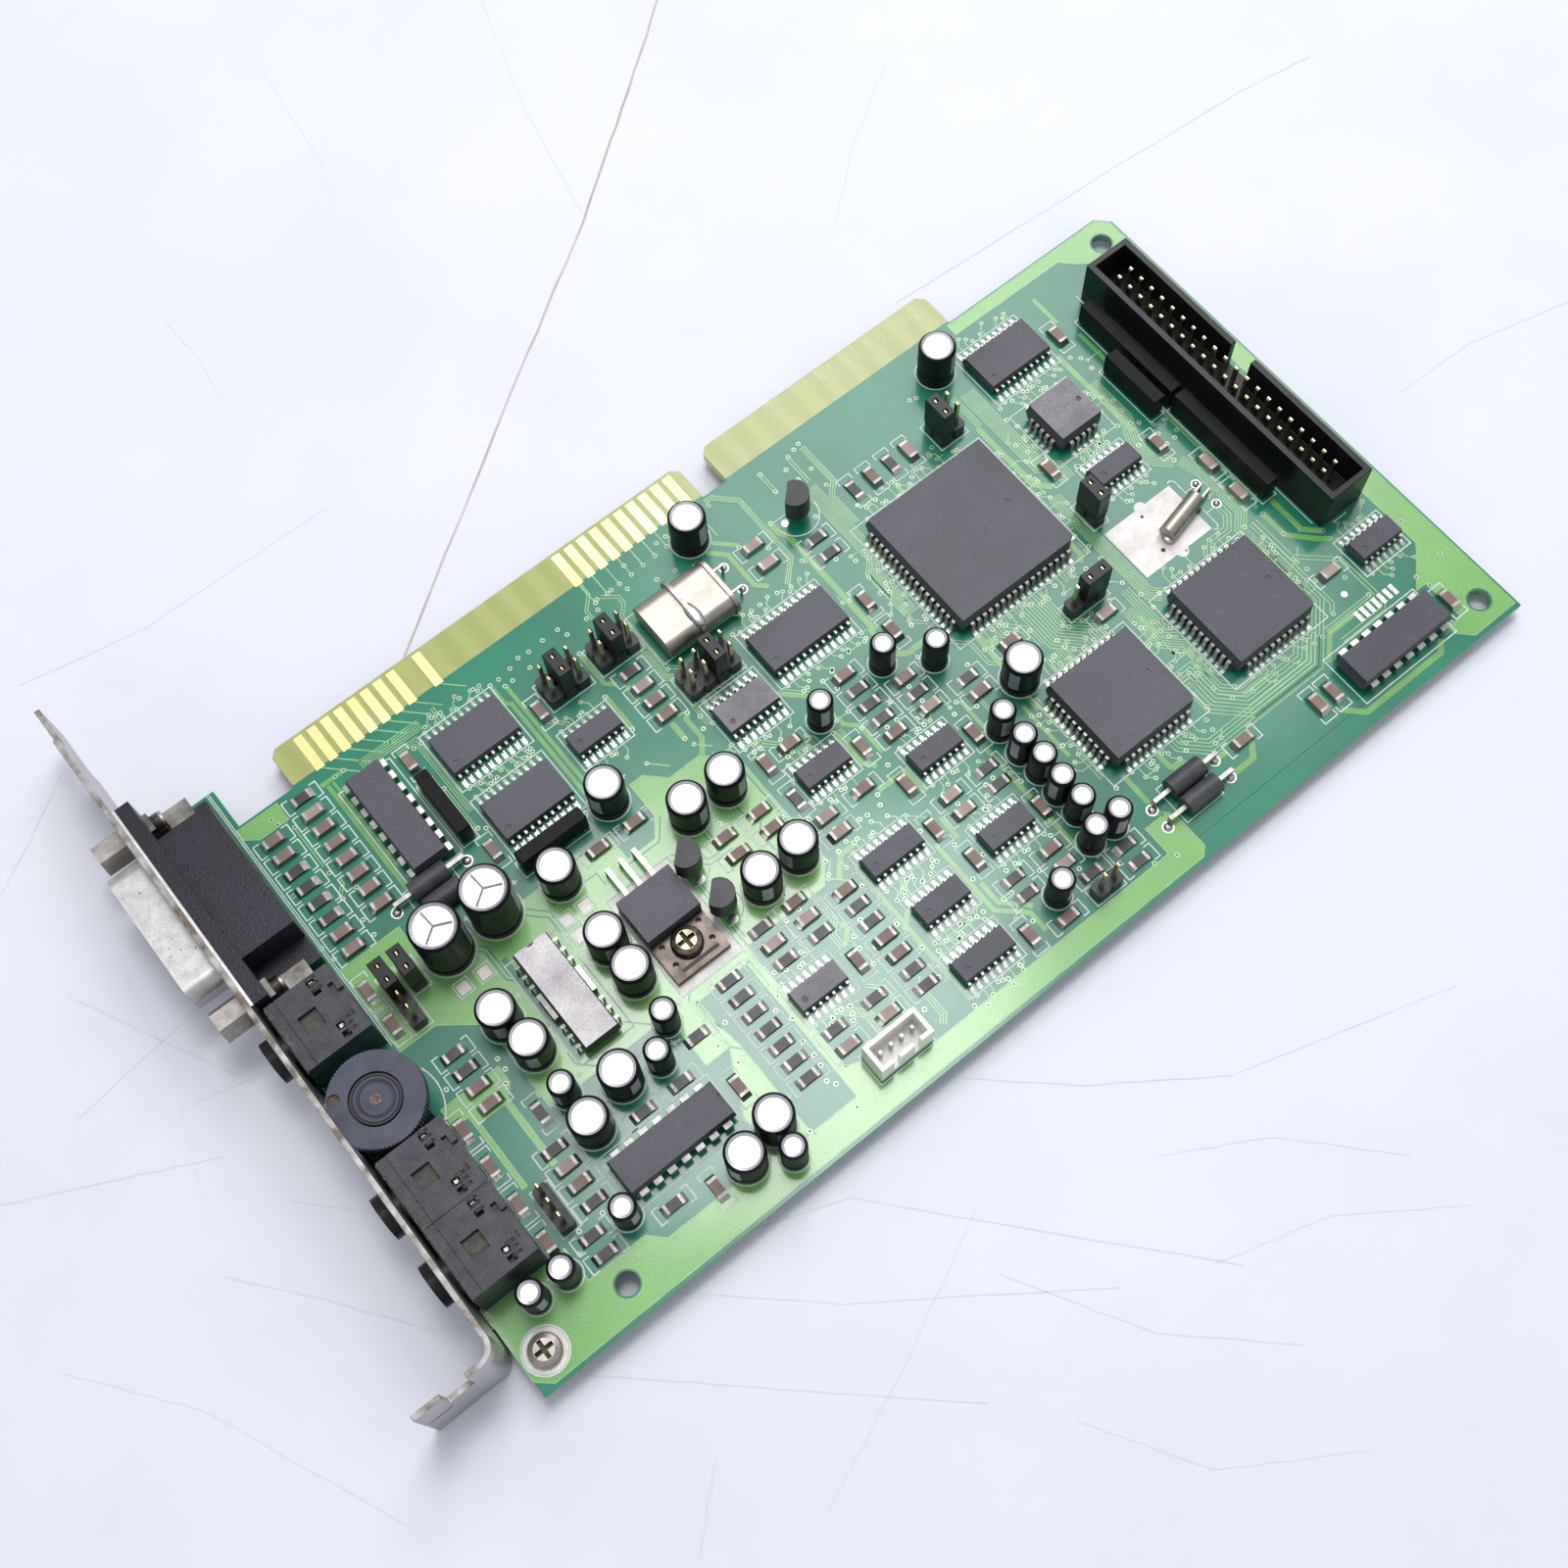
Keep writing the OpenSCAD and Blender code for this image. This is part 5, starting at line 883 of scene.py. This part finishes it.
VIAS = [
    (3.5, -2.6), (5.1, -2.6), (19.3, -4.7), (21, -4), (22.6, -4.2), (21, -5.4), (25, -5.4), (26.4, -4.1),
    (27.6, -5.4), (29, -4.2), (31.5, -5.4), (33.2, -5.4), (33.3, -7), (34.8, -7), (35.7, -5), (37.8, -4.3),
    (39.8, -4.5), (42.7, -4.3), (45.7, -4.3), (46.4, -6), (50.5, -5.7), (52.9, -5.6), (53.9, -4),
    (56.7, -4.1), (58.9, -5.6), (61, -1.9), (38.3, -6.9), (45.9, -10), (44.5, -18.7), (44.5, -26),
    (50, -32.5), (53, -29.2), (55.2, -21.2), (54.2, -31), (53.3, -33), (55, -33.1), (77.6, -11.2),
    (78.5, -1.9), (67.6, -1.9), (69.5, -1.9), (88.7, -2.7), (88.7, -6.9), (94.4, -3.1), (96, -2.6),
    (97.3, -2.2), (92.6, -4.8), (93, -7.5), (96, -7.3), (96, -11.3), (84.3, -11), (90.8, -14.8),
    (81.2, -14.4), (84, -19.7), (90.7, -25.3), (90, -32.4), (88.4, -23), (77.2, -21.7), (73.7, -21.6),
    (72, -21.6), (67, -23), (63.6, -7.3), (66.9, -7.9), (-8.4, -2.3), (-8, -3.6), (-6.2, -5.7),
    (-6.2, -15.4), (-6.9, -20.2), (-4.2, -20), (-6.4, -25), (-6.4, -28), (-13.3, -27.4), (-13.9, -24.8),
    (15.8, -6.6), (17.3, -6.6), (15.6, -15.2), (15.9, -24), (16.9, -24.8), (26.8, -19.2), (29.3, -19.2),
    (30.4, -32.6), (26.4, -34.6), (28.6, -34.6), (57, -41.2), (55, -38), (60.6, -45.2), (58.6, -53.4),
    (56.6, -55.4), (61.2, -55), (56.8, -62.4), (54.2, -62.4), (59.6, -62.8), (51.5, -62.4), (45.9, -62.6),
    (62.6, -60.4), (64, -60.6), (66.6, -60.6), (67.4, -59), (71.8, -56.2), (68.6, -46.6), (73, -38.6),
    (69.6, -38), (75.2, -38.2), (82.6, -37.4), (74, -41), (72.8, -45.2), (79, -48.2), (83, -48),
    (75.8, -51.2), (77.8, -51.2), (83, -51.2), (80.6, -54.6), (85.4, -56.2), (87, -54.8), (89, -57.4),
    (92.6, -51), (90.2, -40), (92.8, -32), (94.4, -30), (94.3, -36), (99.7, -48.8), (101, -50.8),
    (101.8, -49.6), (103.4, -48.8), (104.2, -52.8), (104.2, -58.6), (106.4, -56.8), (106.6, -58.4),
    (107.4, -59.7), (108.8, -60.6), (110.6, -61.4), (114, -61.3), (114, -60), (117.9, -62.4),
    (118.2, -63.7), (116.8, -66.8), (117.6, -56.8), (111.8, -56.7), (113.8, -56.7), (109.4, -56.3),
    (112.6, -49.3), (110.2, -50.4), (107.4, -49.4), (121.6, -47.4), (121.3, -55.8), (122.2, -62.2),
    (122.2, -59.2), (124.6, -61), (125.9, -61.4), (121.6, -50.3), (118.5, -50.2), (127.6, -18.6),
    (130.2, -18.7), (134, -18.7), (136, -18.7), (127, -21), (127.6, -23), (125, -25.6), (127.2, -27.8),
    (127.4, -30.6), (138, -21), (141.2, -26.8), (144.6, -19.8), (143.3, -18.6), (144.7, -22.4),
    (143, -31.8), (140.4, -33.6), (138, -32.8), (133.2, -33.6), (131.8, -34.6), (130, -35), (135, -34.8),
    (137, -34.8), (132, -45.2), (136.8, -44.5), (143.2, -44.4), (144.6, -39), (145.2, -37.2),
    (140.6, -38.6), (144.4, -41.3), (147.4, -40.4), (146.2, -41.3), (143.6, -35.4), (142.4, -34.6),
    (137.4, -61.6), (140, -60.8), (141, -61.8), (143.4, -60.9), (147.4, -61), (147.4, -65.8),
    (144.2, -66.8), (143.2, -72.8), (145.8, -72.8), (149.4, -77.8), (143.4, -81.3), (150.1, -82.4),
    (158.2, -85), (158.8, -87.4), (164.2, -84.4), (163.6, -76.2), (161.4, -69.6), (152.7, -69.4),
    (158.4, -71.6), (156.8, -94.4), (103.5, -82), (106.7, -82.4), (109.2, -83.8), (111.6, -82.6),
    (115.2, -82), (114.8, -83.8), (113.6, -85.8), (116.8, -80.4), (119.8, -78.7), (119.9, -71.2),
    (121.9, -76.2), (122.5, -80.6), (120.9, -81.8), (132.1, -82.4), (124.2, -83), (96.6, -81.6), (95, -71),
    (97, -62.6), (95.6, -64.8), (96.8, -67.8), (92.8, -94.4), (96.4, -95.6), (83.4, -87.8), (78.5, -84.2),
    (72.9, -84.2), (71.3, -84.2), (74.6, -81), (76.4, -81), (83.6, -81), (71.2, -72.8), (73.6, -76.8),
    (69.8, -78.8), (72.4, -89.6), (66.4, -93.6), (63.6, -94.1), (57, -94.1), (62.2, -84.6), (67.6, -83.8),
    (56.8, -82.2), (50.9, -89.8), (49.4, -76.4), (50, -74.4), (56.2, -77), (35.2, -74.4), (34.8, -78.4),
    (33.6, -76), (33.8, -82.2), (33.8, -84.8), (33.6, -86.6), (33.6, -90.2), (32.8, -89), (33.8, -94.8),
    (26.6, -72.6), (23.6, -74.8), (24.4, -78.6), (26.2, -93.2), (43.6, -66), (46.2, -65.8), (56, -69),
    (68.6, -67.8), (86, -71.4), (83, -80.2), (84.8, -79), (39.5, -82.2), (42.6, -82.4), (52.4, -73),
    (-3, -55.6), (-3, -57.6), (-4.2, -59.4), (-11.6, -54.6), (-8.6, -83.6), (-4.4, -83.6), (81.4, -68.4),
    (83, -68.2), (76, -68), (78.6, -71.4), (60.4, -73.8), (67.4, -73.2), (58.4, -84.2), (41.6, -84.4),
    (118.2, -8), (117, -7.6), (114, -17), (112.6, -18), (107.8, -19.2), (104, -20.6), (99.4, -13.6),
    (98.4, -18.8), (100.4, -18.6), (104.6, -17.8),
]
BOARD_HOLES = [(-7.6, -93.8), (163, -94.2), (163, -4.6)]
HOLE_RADIUS = 2.1


def pierced(ring, x, y, sides=24):
    """The ring with a round hole, joined to its nearest corner by a seam."""
    near = min(range(len(ring)), key=lambda i: math.hypot(ring[i][0] - x, ring[i][1] - y))
    start = math.atan2(ring[near][1] - y, ring[near][0] - x)
    area = sum(a[0] * b[1] - b[0] * a[1] for a, b in zip(ring, ring[1:] + ring[:1]))
    way = -1 if area > 0 else 1
    turns = (start + way * math.tau * i / sides for i in range(sides + 1))
    circle = [(x + HOLE_RADIUS * math.cos(a), y + HOLE_RADIUS * math.sin(a)) for a in turns]
    return ring[:near + 1] + circle + ring[near:]


def copper_art():
    for ring in FILLS:
        trace.stroke(ring, FINE_TRACE, closed=True)
        for x, y in BOARD_HOLES:
            low, high = np.min(ring, axis=0), np.max(ring, axis=0)
            if low[0] < x < high[0] and low[1] < y < high[1]:
                ring = pierced(ring, x, y)
        copper.face(ring)
    for ring in MASKED:
        masked.face(ring)
    for line in GAPS:
        gaps.stroke(line, 0.26)
    for width, line in TRACKS:
        tracks.stroke(line, width)
    for count, pitch, line in BUNDLES:
        pts, normals = mitres(line)
        for k in range(count):
            off = (k - (count - 1) / 2) * pitch
            trace.stroke([p + normal * off for p, normal in zip(pts, normals)], FINE_TRACE)
    for x, y in VIAS:
        via(x, y)
    loose_traces()


def loose_traces():
    """Short traces with a via, scattered between the chips."""
    rng = random.Random(21)
    for k in range(150):
        if k % 2:
            x, y = rng.uniform(96, 150), rng.uniform(-79, -18)
        else:
            x, y = rng.uniform(40, 118), rng.uniform(-88, -20)
        if 122 < x < 142 and -60 < y < -45 or 55 < x < 71 and y > -23:
            continue
        way = rng.choice(((1, 0), (0, 1), (1, 1), (1, -1)))
        a = rng.uniform(1, 3)
        trace.stroke([(x, y), (x + way[0] * a, y + way[1] * a)], LEAD_TRACE)
        via(x, y, 0.36)


SOLDER_SQUARES = [(-0.6, -43.5), (3.2, -43.6), (17.8, -44.8), (21.3, -44.8), (17.8, -48)]
# Round pads, with their radius; the first ten carry a joint
RING_PADS = [
    (73.3, -12.6, 0.9), (73.3, -17.6, 0.9), (142.8, -50, 0.85), (142.9, -54.8, 0.85), (98.4, -87.8, 1),
    (111.4, -87.8, 1), (98.4, -91.4, 1), (111.4, -91.4, 1), (-1.7, -27.4, 1), (11.5, -27.3, 1),
    (86.2, -12.6, 0.7), (88.6, -12.8, 0.7), (37.6, -52.4, 0.8), (37.6, -60.6, 0.8),
]
JOINTS = 10


def tinned_areas():
    tinned.rect(24.3, -65.4, 35.6, -46.6)
    tinned.rect(125, -57.7, 139.2, -47.4)
    tinned.disc(132.8, -47.5, 1.1)
    tinned.disc(132.7, -57.7, 1.1)
    for x, y in SOLDER_SQUARES:
        silk.outline(x - 1.3, y - 1.3, x + 1.3, y + 1.3, FINE_INK)
        tinned.block(x, y, 0.95, 0.95)
    for x, y, r in RING_PADS:
        pads.disc(x, y, r, 20)
    for i in range(7):
        pads.block(146.2 + PITCH * i, -84.2, 0.38, 1)
    pads.arc(147.2, -79.9, 0.3, 0.5)
    silk.arc(-22.1, -93.9, 3.5, 0.3)
    # Two dark holes in the tinned square, in painted shade
    holes.disc(131.9, -48.9, 0.28)
    holes.disc(130.4, -55.6, 0.4)
    # A dark slot of painted shade at the regulator's tab
    slot = Sheet("tab_slot", HOLE_SHADE, 1.33)
    slot.rect(26.4, -63.05, 33.2, -62.45)
    slot.build()


def tongue_marks():
    """Fine pale lines that a slot's springs left on the second tongue, three to a contact."""
    marks = Sheet("tongue_marks", TONGUE_MARK, 0.012)
    rng = random.Random(31)
    for k in range(10):
        for side in (-0.42, -0.1, 0.38):
            x = 128.9 - 2 * PITCH * k + side
            marks.rect(x - 0.06, 3.9 + rng.uniform(-0.4, 0.8), x + 0.06, 7 + rng.uniform(-0.3, 0.3))
    marks.build()


def screw_pad():
    """The tinned ring under the screw that holds the bracket's foot."""
    foot = solids("pan_head_screws")[0]
    x, y = ((foot[0] + foot[1]) / 2)[:2]
    tinned.disc(x, y, 3.3, 40)


def silk_lines():
    for x in (-14.1, -13.75):
        silk.stroke([(x, 7.4), (x, -44)], 0.16)
    silk.stroke([(152.3, -10), (152.3, -67.4)], INK)
    silk.stroke([(155, -69.4), (158, -69.4)], INK)
    silk.arc(-20, -52.6, 7.95, INK, -48, 22)
    silk.arc(88.5, -12.5, 3.9, INK, 180, 360)
    silk.arc(37.2, -50, 3.2, FINE_INK, 250, 420)
    silk.arc(37.4, -58.2, 3.2, FINE_INK, 250, 420)
    silk.stroke([(84.8, -11.3), (92.3, -11.3)], INK)
    silk.stroke([(69.6, -9), (70.7, -9.6), (70.7, -20.2), (69.9, -20.9), (69, -20.2)], INK)
    silk.stroke([(70.7, -12), (72.3, -12)], FINE_INK)
    silk.stroke([(70.7, -17.2), (72.3, -17.2)], FINE_INK)
    silk.outline(55.2, -20.2, 70.7, -9.8, FINE_INK)
    silk.stroke([(139.2, -47), (139.8, -46.8), (140.4, -47.4), (140.4, -57.8), (139.8, -58.4), (139.2, -58)],
                INK)
    for y in (-50.1, -55.1):
        silk.stroke([(140.4, y), (142.2, y)], FINE_INK)
    silk.outline(24.1, -65.6, 35.8, -46.4, 0.2)
    silk.outline(101.2, -92.7, 108.8, -85.6, 0.2)
    silk.outline(0.8, -29, 9, -25.4, 0.2)
    for node in ("resistor_networks", "jumper_bases", "wafer_housing"):
        for low, high in solids(node):
            silk.surround(low, high, 0.35, 0.35, 0.2)


# Small details that the frame's solids carry
def ellipsoid(name, centre, radii):
    """A lump of solder with an uneven swell."""
    mesh = bpy.data.meshes.new(name)
    bm = bmesh.new()
    bmesh.ops.create_icosphere(bm, subdivisions=3, radius=1)
    rng = random.Random(4)
    wave = [rng.uniform(-1, 1) for _ in range(6)]
    for v in bm.verts:
        x, y, z = v.co
        swell = 1 + 0.05 * (wave[0] * math.sin(3 * x + wave[1]) + wave[2] * math.sin(4 * y + wave[3]))
        v.co = [(c + r * swell * k) * MM for c, r, k in zip(centre, radii, (x, y, z))]
    bm.to_mesh(mesh)
    bm.free()
    add_object(name, mesh, SOLDER, smooth=True)


# Length of a jack's moulding, the share of it behind the step, and the step's height
JACK_LENGTH, BACK_SHARE, STEP_HEIGHT = 11.3, 0.71, 9.62
# Rows of three slots: distance from the jack's far end, and from its middle
SLOT_ROWS = ((3.2, 4.5), (2.5, -3.65))
SLOT_PITCH = 0.95
SPECKS, PITS = 26, 150
# Behind the port, the jackscrews' thread runs between these X
THREAD_START, THREAD_END, THREAD_PITCH = -23.1, -20.95, 0.36
THREAD_ROOT, THREAD_TOP = 1.43, 1.6
# From the edge of a jackscrew's head to its axis
HEAD_HALF = 2.89


def jack_windows():
    """The openings in the steps of the jacks, closed by a dim sheet of painted shade."""
    window = Sheet("jack_windows", WINDOW_SHADE, STEP_HEIGHT)
    for node in JACKS:
        x = node_box(node)[1][0] - JACK_LENGTH * BACK_SHARE
        y = middle(node)[1]
        window.rect(x + 0.1, y - 1.45, x + 3, y + 1.45)
    window.build()


def jack_slots():
    """Slots of painted shade, with spring ends, in the tops of the jacks."""
    slots = Sheet("jack_slots", SHADE_BLACK)
    springs = Sheet("jack_springs", RUST)
    for node in JACKS:
        high = node_box(node)[1]
        slots.height, springs.height = high[2] + 0.012, high[2] + 0.02
        for back, off in SLOT_ROWS:
            x = high[0] - back
            for k in (-1, 0, 1):
                y = middle(node)[1] + off + k * SLOT_PITCH
                slots.block(x, y, 0.8, 0.28)
                springs.rect(x - 0.45, y - 0.1, x + 0.3, y + 0.1)
    slots.build()
    springs.build()


def dirt():
    """Brown dust on the jacks beside the bracket, and pits in the port's shell."""
    rng = random.Random(17)

    def spot(sheet, x, y, z, r, sides, longest):
        """An uneven patch; longest is the greatest share of r that it reaches along Y."""
        corners = []
        for i in range(sides):
            a = math.tau * i / sides
            across = r * rng.uniform(0.6, min(longest, 1.4)) * math.cos(a)
            corners.append((x + across, y + r * rng.uniform(0.6, longest) * math.sin(a)))
        sheet.face(corners, z)

    dust = Sheet("bracket_dirt", RUST)
    for node in JACKS:
        low, high = node_box(node)
        for _ in range(SPECKS):
            near = rng.random() ** 2.2
            y = rng.uniform(low[1] + 0.5, high[1] - 0.5)
            r = rng.uniform(0.08, 0.3) * (1.2 - near)
            spot(dust, high[0] - 11 + 3 * near, y, high[2] + 0.006 + 0.002 * near, r, 7, 1.3)
    dust.build()
    pits = Sheet("shell_pits", EDGE_STAIN_AND_SHADE)
    low, high = node_box("game_port_shell")
    for _ in range(PITS):
        x = low[0] + 0.5 + 4.6 * rng.random() ** 1.6
        y = (low[1] + high[1]) / 2 + rng.uniform(-9.6, 9.6)
        r = rng.uniform(0.03, 0.09) * (2 if rng.random() < 0.12 else 1)
        spot(pits, x, y, high[2] - 1.9 + 0.006, r, 6, 1.8)
    pits.build()


def screw_threads():
    """Ridges on the ends of the jackscrews, behind the port."""
    ridges = Sheet("screw_threads", LOCK)
    low, high = node_box("jackscrews")
    z = (low[2] + high[2]) / 2
    sides = 24
    rings = 2 * int((THREAD_END - THREAD_START) / THREAD_PITCH)
    for y in (low[1] + HEAD_HALF, high[1] - HEAD_HALF):
        base = len(ridges.points)
        for k in range(rings + 1):
            circle = around(y, z, THREAD_TOP if k % 2 else THREAD_ROOT, sides)
            ridges.points += [(THREAD_START + THREAD_PITCH * k / 2, *p) for p in circle]
        for row in range(base, base + rings * sides, sides):
            for i in range(sides):
                j = (i + 1) % sides
                ridges.faces.append([row + i, row + j, row + sides + j, row + sides + i])
    ridges.build()


def painted_groove_shade():
    """A black ring of painted shade that widens the groove round the wheel's hub."""
    x, y = middle("volume_wheel")[:2]
    hub = 0
    for face in NODES["volume_wheel"].data.polygons:
        place = np.array(face.center) / MM
        if face.normal[2] > 0.9 and 2 < np.hypot(place[0] - x, place[1] - y) < 3.3:
            hub = max(hub, place[2])
    ring = Sheet("painted_groove_shade", SHADE_BLACK, hub + 0.01)
    ring.arc(x, y, 3.42, 0.34, sides=64)
    ring.build(body=WHEEL)


def can_scores(cans):
    """Pressed score lines, three arms, in the tops of the largest cans, drawn as grey lines of painted shade.
    """
    scores = Sheet("can_scores", SCORE_SHADE)
    for x, y, r, height in cans:
        scores.height = height + 0.01
        for k in range(3):
            a = math.radians(95 + 120 * k)
            scores.stroke([(x, y), (x + 0.72 * r * math.cos(a), y + 0.72 * r * math.sin(a))], 0.2)
    scores.build()


def solder_blobs():
    ellipsoid("strap_solder", (63.3, -18.2, 4.6), (1.15, 2.6, 0.75))
    ellipsoid("strap_foot", (63.2, -21.6, 0.3), (0.9, 0.8, 0.5))
    ellipsoid("watch_solder", (132.4, -54.6, 0.25), (1, 1.2, 0.5))
    for x, y, r in RING_PADS[:JOINTS]:
        ellipsoid("lead_solder", (x, y, 0.05), (r * 0.75, r * 0.75, 0.5))


# Floor, lights and camera. The camera was fitted to the photo's frame of 1600 by 1600
CAMERA = Vector((-6.3, -141.8, 285.6)) * MM
RIGHT = Vector((0.78023, -0.62474, -0.03069))
DOWN = Vector((-0.59026, -0.71916, -0.36662))
AHEAD = Vector((0.20697, 0.30417, -0.92986))
FOCAL_PX = 2011.3
IMAGE_PX = 1600
SENSOR = 36.0
NEAR_CLIP = 0.01
# Half the floor's width
FLOOR_SPAN = 3000
# In metres: place, the point aimed at, size; then the power
KEY_LIGHT = ((0.57, 0.38, 0.85), (0.06, -0.05, 0), (0.5, 0.5), 3.6)
TOP_LIGHT = ((0.158, 0.112, 0.85), (0.02, -0.07, 0), (0.27, 0.23), 2.5)
SKY = (0.93, 0.95, 1.0, 1)
# Strength of the sky on the objects, and what the camera sees more of it
SKY_LIGHT, SKY_SEEN = 0.6, 0.3


def camera():
    data = bpy.data.cameras.new("camera")
    data.sensor_width = SENSOR
    data.lens = SENSOR * FOCAL_PX / IMAGE_PX
    data.clip_start = NEAR_CLIP
    obj = bpy.data.objects.new("camera", data)
    turn = Matrix((RIGHT, -DOWN, -AHEAD)).transposed().to_4x4()
    obj.matrix_world = Matrix.Translation(CAMERA) @ turn
    bpy.context.scene.collection.objects.link(obj)
    bpy.context.scene.camera = obj


def lamp(name, place, aim, size, power):
    data = bpy.data.lights.new(name, "AREA")
    data.shape = "RECTANGLE"
    data.size, data.size_y = size
    data.energy = power
    obj = bpy.data.objects.new(name, data)
    obj.location = place
    obj.rotation_euler = (Vector(aim) - Vector(place)).to_track_quat("-Z", "Y").to_euler()
    bpy.context.scene.collection.objects.link(obj)


# Scratches of the floor: each has its width in mm, then its places in the 1600 by 1600 frame. The first is
# the brown one
SCRATCHES = [
    (0.4, [(671, 0), (640, 96), (594, 229), (520, 405), (411, 674)]), (0.28, [(1337, 57), (1269, 91),
    (1130, 175), (914, 309)]), (0.22, [(491, 0), (537, 114), (594, 217)]), (0.22, [(170, 330), (200, 362),
    (228, 411)]), (0.24, [(69, 1017), (140, 1050), (240, 1097)]), (0.24, [(0, 914), (30, 860), (62, 790)]),
    (0.26, [(229, 1303), (330, 1325), (446, 1360)]), (0.22, [(686, 1280), (868, 1223), (1268, 1291)]),
    (0.22, [(845, 1543), (930, 1380), (995, 1234)]), (0.2, [(617, 1314), (860, 1330), (1143, 1314)]),
    (0.24, [(731, 1486), (722, 1540), (714, 1589)]), (0.2, [(937, 1097), (1100, 1108), (1257, 1097),
    (1486, 1006)]), (0.2, [(1430, 400), (1500, 350), (1600, 308)]), (0.2, [(560, 1400), (760, 1415),
    (1010, 1432)]), (0.18, [(80, 1142), (165, 1063), (232, 1002)]), (0.16, [(197, 1127), (279, 1092),
    (330, 1068)]), (0.16, [(300, 1226), (385, 1238)]), (0.14, [(20, 700), (150, 640), (330, 520)]),
    (0.14, [(260, 60), (330, 170), (372, 330)]), (0.14, [(1180, 1180), (1300, 1160), (1440, 1180)]),
    (0.14, [(60, 1400), (210, 1440), (420, 1560)]), (0.12, [(120, 980), (180, 1100), (214, 1260)]),
    (0.14, [(1240, 1290), (1360, 1240), (1500, 1230)]), (0.12, [(1100, 1450), (1240, 1500), (1400, 1480)]),
    (0.2, [(0, 1230), (90, 1210), (230, 1180)]), (0.18, [(905, 60), (870, 150), (850, 240)]),
    (0.2, [(1020, 1300), (1180, 1360), (1330, 1372)]),
]
SCRATCH_LIFT = 0.05
SCRATCH_WANDER = 0.12


def scratches(low, slope, left):
    grey_mark = finish("scratch_grey", (228, 229, 239), (218, 219, 229), (0.6, 0.7), patch=0.1)
    brown_mark = finish("scratch_brown", (214, 202, 196), (186, 166, 156), (0.6, 0.7), patch=0.05)
    grey, brown = Sheet("floor_scratches", grey_mark), Sheet("brown_scratch", brown_mark)
    eye = CAMERA / MM

    def ground(u, v):
        ray = RIGHT * ((u - IMAGE_PX / 2) / FOCAL_PX) + DOWN * ((v - IMAGE_PX / 2) / FOCAL_PX) + AHEAD
        t = (low + slope * (eye.x - left) - eye.z) / (ray.z - slope * ray.x)
        point = eye + ray * t
        return (point.x, point.y)

    rng = random.Random(8)
    for number, (width, line) in enumerate(SCRATCHES):
        ends = [ground(*p) for p in line]
        fine = []
        for a, b in zip(ends, ends[1:]):
            for k in range(8):
                fine.append([p + (q - p) * k / 8 + rng.uniform(-SCRATCH_WANDER, SCRATCH_WANDER)
                             for p, q in zip(a, b)])
        fine.append(ends[-1])
        if number:
            grey.stroke(fine, width * 0.75)
        else:
            brown.stroke(fine, width)
    for marks in (grey, brown):
        marks.points = [(x, y, low + slope * (x - left) + SCRATCH_LIFT) for x, y, _ in marks.points]
        marks.build(body=None)


def sky():
    world = bpy.data.worlds.new("studio")
    world.use_nodes = True
    tree = world.node_tree
    seen = add(tree, "LightPath", {}, "Is Camera Ray")
    strength = add(tree, "Math", {0: seen, 1: SKY_SEEN, 2: SKY_LIGHT}, operation="MULTIPLY_ADD")
    feed(tree.nodes["Background"], {"Color": SKY, "Strength": strength})
    bpy.context.scene.world = world


def stage():
    """The card rests on its bracket and on the joints at its far end, so the floor slopes in its frame."""
    bracket, joints = node_box("bracket"), node_box("header_joints")
    low, left = bracket[0][2], bracket[1][0]
    slope = (joints[0][2] - low) / (joints[1][0] - left)
    corners = [(x * FLOOR_SPAN, y * FLOOR_SPAN) for x, y in ((-1, -1), (1, -1), (1, 1), (-1, 1))]
    mesh = bpy.data.meshes.new("floor")
    points = [(x * MM, y * MM, (low + slope * (x - left)) * MM) for x, y in corners]
    mesh.from_pydata(points, [], [(0, 1, 2, 3)])
    pale = finish("floor_pale", (232, 233, 243), (226, 228, 240), (0.5, 0.6), patch=0.02)
    add_object("floor", mesh, pale, body=None)
    scratches(low, slope, left)
    sky()
    lamp("key", *KEY_LIGHT)
    lamp("overhead", *TOP_LIGHT)
    bpy.context.scene.view_settings.view_transform = "Standard"


dress_all()
small_part_marks(dress_small("chip_resistors", RESISTOR), 0.55)
small_part_marks(dress_small("chip_capacitors", CERAMIC), 1.0)
large_cans = dress_cans("large_capacitors", FOIL_TOP)
can_marks(large_cans + dress_cans("medium_capacitors") + dress_cans("small_capacitors"))
chip_marks()
copper_art()
finger_traces()
tinned_areas()
screw_pad()
tongue_marks()
silk_lines()
jack_windows()
jack_slots()
dirt()
screw_threads()
painted_groove_shade()
can_scores(large_cans)
solder_blobs()
for sheet in (copper, masked, gaps, tracks, trace, tinned, via_rims, via_holes, holes, silk, pads):
    sheet.build()
camera()
stage()
